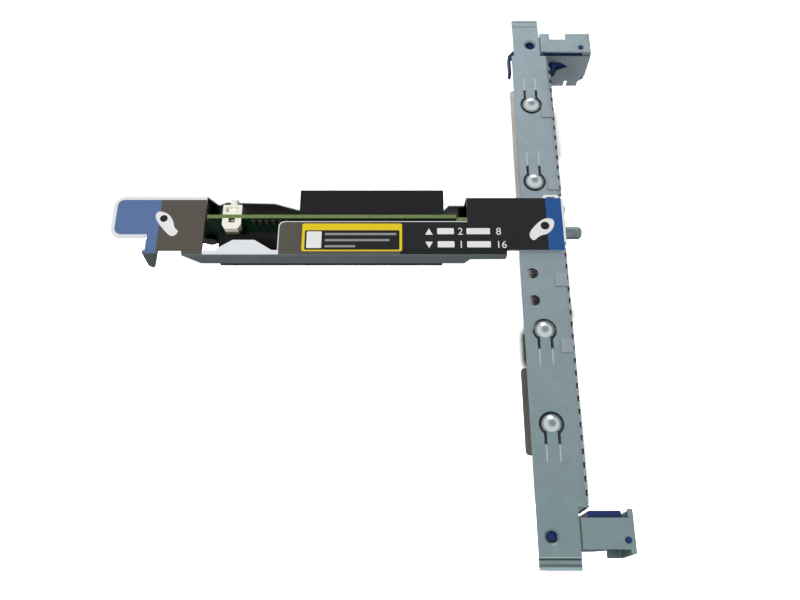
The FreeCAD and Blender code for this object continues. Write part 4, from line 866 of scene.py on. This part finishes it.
class RISER_OT_board_clip(bpy.types.Operator):
    """White clip that straddles the board"""

    bl_idname = "riser.board_clip"
    bl_label = "Board clip"

    def execute(self, context):
        material = white_nylon(context.scene.riser_colours.nylon)
        softened("board_clip", context.scene.riser_sizes.moulded_edge, material)
        return {"FINISHED"}


class RISER_OT_fixings(bpy.types.Operator):
    """Standoffs, screws, locating pin and rivets"""

    bl_idname = "riser.fixings"
    bl_label = "Fixings"

    def execute(self, context):
        bright = turned_steel("turned_bright", shade(88, 100, 104), shade(124, 136, 140))
        black = turned_steel("turned_black", shade(34, 35, 37), shade(48, 49, 51))
        for name, material in (("board_standoffs", black), ("board_screws", black),
                               ("locating_pin", bright), ("bracket_rivets", bright)):
            paint(name, material)
        return {"FINISHED"}


class RISER_OT_films(bpy.types.Operator):
    """Printed films on the two top plates"""

    bl_idname = "riser.films"
    bl_label = "Printed films"

    def execute(self, context):
        colours = context.scene.riser_colours
        front = [(HANDLE_REAR, colours.film_grey, 0.1 * MM)]
        paint("label_front", film_finish("front_print", colours.handle_blue, front, 0.12))
        rear = [(DUSTY_MIDDLE, colours.film_black, DUSTY_FADE), (BLUE_FRONT, colours.film_blue, 0.1 * MM)]
        paint("label_rear", film_finish("rear_print", colours.film_dusty, rear, 0.08))
        yellow = ink_finish("yellow_ink", colours.ink_yellow)
        white = ink_finish("white_ink", colours.ink_white)
        grey = ink_finish("grey_ink", colours.ink_grey)
        dark = ink_finish("dark_ink", colours.film_black)
        printed_layer("print_frame", [rounded_field(-12.4, -15.2, 25.8, -3.4, 0.8)], 1, yellow)
        printed_layer("print_inner_field", [rounded_field(-11.3, -14.6, 24.8, -6.3, 0.5)], 2,
                      dark)
        printed_layer("print_box", [rounded_field(-10.6, -13.9, -4.9, -6.8, 0.3)], 3, white)
        lines = [rounded_field(-3.6, -8.4, 23.6, -7.5, 0.2), rounded_field(-3.6, -11.0, 21.0, -10.1, 0.2),
                 rounded_field(-3.6, -13.6, 8.0, -12.7, 0.2)]
        printed_layer("print_lines", lines, 3, grey)
        pointers = [np.array(((34.6, -8.2), (37.5, -8.2), (36.05, -5.5))),
                    np.array(((34.6, -11.2), (36.05, -13.9), (37.5, -11.2)))]
        bars = [rounded_field(39.2, -8.0, 45.6, -5.4, 0.3), rounded_field(50.4, -8.0, 59.4, -5.4, 0.3),
                rounded_field(39.3, -13.6, 45.7, -11.0, 0.3), rounded_field(50.5, -13.6, 59.5, -11.0, 0.3)]
        printed_layer("print_slot_guides", pointers + bars, 1, white)
        for name, text, x, y in (("print_two", "2", 47.0, -8.2), ("print_eight", "8", 61.6, -8.2),
                                 ("print_one", "1", 47.2, -13.8), ("print_sixteen", "16", 61.4, -13.8)):
            printed_number(name, text, x, y, 3.0, 1, white)
        grip_rear = smooth_loop([(73.8, -8.0), (75.8, -11.2), (78.2, -8.6), (81.8, -7.8), (84.2, -4.6),
                                 (84.2, -1.4), (81.0, -0.9), (77.6, -3.2)])
        grip_front = smooth_loop([(-69.4, -1.0), (-66.0, -5.6), (-62.0, -9.6), (-59.4, -6.8), (-61.4, -5.4),
                                  (-62.2, -2.0), (-64.6, 1.2), (-68.8, 2.2)])
        printed_layer("print_grip_mark_rear", [grip_rear], 1, white)
        printed_layer("print_grip_mark_front", [grip_front], 1, white)
        printed_layer("print_grip_spot_rear", [disc(80.6, -4.3, 1.7)], 2, dark)
        printed_layer("print_grip_spot_front", [disc(-65.9, -1.2, 1.5)], 2, dark)
        return {"FINISHED"}


def backdrop_strength(tree):
    """1 for rays from the eye, mirror-like surfaces and clear ones, until a matt surface is met; else 0."""
    path = add(tree, "ShaderNodeLightPath").outputs
    seen = math_node(tree, "MAXIMUM", path["Is Camera Ray"], path["Is Glossy Ray"])
    seen = math_node(tree, "MAXIMUM", seen, path["Is Transmission Ray"])
    return math_node(tree, "MULTIPLY", seen, math_node(tree, "LESS_THAN", path["Diffuse Depth"], 0.5))


def aimed_lamp(name, kind, size, power, direction, lit):
    """A lamp that shines along a direction and lights one collection only.

    The size is a panel's side in metres, or a sun's width as an angle.
    """
    lamp = bpy.data.lights.new(name, kind)
    lamp.energy = power
    if kind == "SUN":
        lamp.angle = size
    else:
        lamp.size = size
    holder = bpy.data.objects.new(name, lamp)
    holder.light_linking.receiver_collection = lit
    level = math.hypot(direction[0], direction[1])
    holder.rotation_euler = (math.atan2(level, -direction[2]), 0.0, math.atan2(-direction[0], direction[1]))
    bpy.context.scene.collection.objects.link(holder)
    return holder


class RISER_OT_stage(bpy.types.Operator):
    """Floor, soft studio light and the camera"""

    bl_idname = "riser.stage"
    bl_label = "Stage"

    def execute(self, context):
        scene = context.scene
        scene.view_settings.view_transform = "Standard"
        world = bpy.data.worlds.new("Studio")
        scene.world = world
        world.use_nodes = True
        tree = world.node_tree
        background = tree.nodes["Background"]
        background.inputs["Color"].default_value = (1.0, 1.0, 1.0, 1.0)
        strength = spread(tree, backdrop_strength(tree), WORLD_FILL, WORLD_WHITE)
        tree.links.new(strength, background.inputs["Strength"])

        floor_material = bpy.data.materials.new("floor")
        floor_material.use_nodes = True
        tree = floor_material.node_tree
        tree.nodes.remove(tree.nodes["Principled BSDF"])
        mirrored = spread(tree, backdrop_strength(tree), FLOOR_FILL, FLOOR_MIRRORED)
        eye = add(tree, "ShaderNodeLightPath").outputs["Is Camera Ray"]
        tone = math_node(tree, "MAXIMUM", mirrored, math_node(tree, "MULTIPLY", eye, FLOOR_WHITE))
        matt = add(tree, "ShaderNodeBsdfDiffuse", {"Color": tone})
        below = add(tree, "ShaderNodeNewGeometry").outputs["Backfacing"]
        clear = add(tree, "ShaderNodeBsdfTransparent")
        shown = add(tree, "ShaderNodeMixShader", {0: below, 1: matt.outputs[0], 2: clear.outputs[0]})
        tree.links.new(shown.outputs[0], tree.nodes["Material Output"].inputs["Surface"])
        floor = bpy.data.meshes.new("floor")
        low, far = cad_low.z - FLOOR_GAP, FLOOR_REACH
        corners = [(-far, -far, low), (far, -far, low), (far, far, low), (-far, far, low)]
        floor.from_pydata(corners, [], [(0, 1, 2, 3)])
        floor.materials.append(floor_material)
        ground = bpy.data.objects.new("floor", floor)
        scene.collection.objects.link(ground)

        pieces = bpy.data.collections.new("Lit pieces")
        for item in scene.objects:
            if item.type == "MESH" and item != ground:
                pieces.objects.link(item)
        ground_only = bpy.data.collections.new("Lit floor")
        ground_only.objects.link(ground)
        key = aimed_lamp("piece_lamp", "AREA", 0.3, 9.5, (0.25, 0.44, -0.88), pieces)
        key.location = (-0.2, -0.44, 0.9)
        key.visible_glossy = False
        back = aimed_lamp("back_fill", "AREA", 0.4, 3.0, (-0.03, -0.9, -0.2), pieces)
        back.location = (0.08, 0.9, 0.22)
        for name, along in (("floor_sun_front", 1.62), ("floor_sun_back", -1.2)):
            aimed_lamp(name, "SUN", math.radians(7), 4.6, (0.22, along, -1.0), ground_only)

        view = bpy.data.cameras.new("camera")
        view.lens = 36.0
        view.sensor_width = 36.0
        view.clip_start = 0.01
        camera = bpy.data.objects.new("camera", view)
        camera.location = (0.025, -0.149, 0.3032)
        camera.rotation_euler = (math.radians(22.7), 0.0, 0.0)
        scene.collection.objects.link(camera)
        scene.camera = camera
        return {"FINISHED"}


OPERATORS = (
    RISER_OT_rear_bracket,
    RISER_OT_latch_housings,
    RISER_OT_arm_bracket,
    RISER_OT_latch_levers,
    RISER_OT_spring_strips,
    RISER_OT_board,
    RISER_OT_card_sockets,
    RISER_OT_board_clip,
    RISER_OT_fixings,
    RISER_OT_films,
    RISER_OT_stage,
)


class RISER_PT_panel(bpy.types.Panel):
    """Sidebar panel with the sizes, colours and pieces"""

    bl_idname = "RISER_PT_panel"
    bl_label = "Riser card"
    bl_space_type = "VIEW_3D"
    bl_region_type = "UI"
    bl_category = "Riser"

    def draw(self, context):
        for settings in (context.scene.riser_sizes, context.scene.riser_colours):
            for name in settings.__annotations__:
                self.layout.prop(settings, name)
        for operator in OPERATORS:
            self.layout.operator(operator.bl_idname)


CLASSES = (RiserSizes, RiserColours, *OPERATORS, RISER_PT_panel)


def register():
    """Registers the classes and hangs the settings on the scene."""
    for entry in CLASSES:
        bpy.utils.register_class(entry)
    bpy.types.Scene.riser_sizes = PointerProperty(type=RiserSizes)
    bpy.types.Scene.riser_colours = PointerProperty(type=RiserColours)


def unregister():
    """Takes the settings and the classes away again."""
    del bpy.types.Scene.riser_colours
    del bpy.types.Scene.riser_sizes
    for entry in reversed(CLASSES):
        bpy.utils.unregister_class(entry)


def main():
    """Builds every piece and the stage."""
    register()
    for operator in OPERATORS:
        family, action = operator.bl_idname.split(".")
        getattr(getattr(bpy.ops, family), action)()
    bpy.context.view_layer.update()


if __name__ == "__main__":
    main()
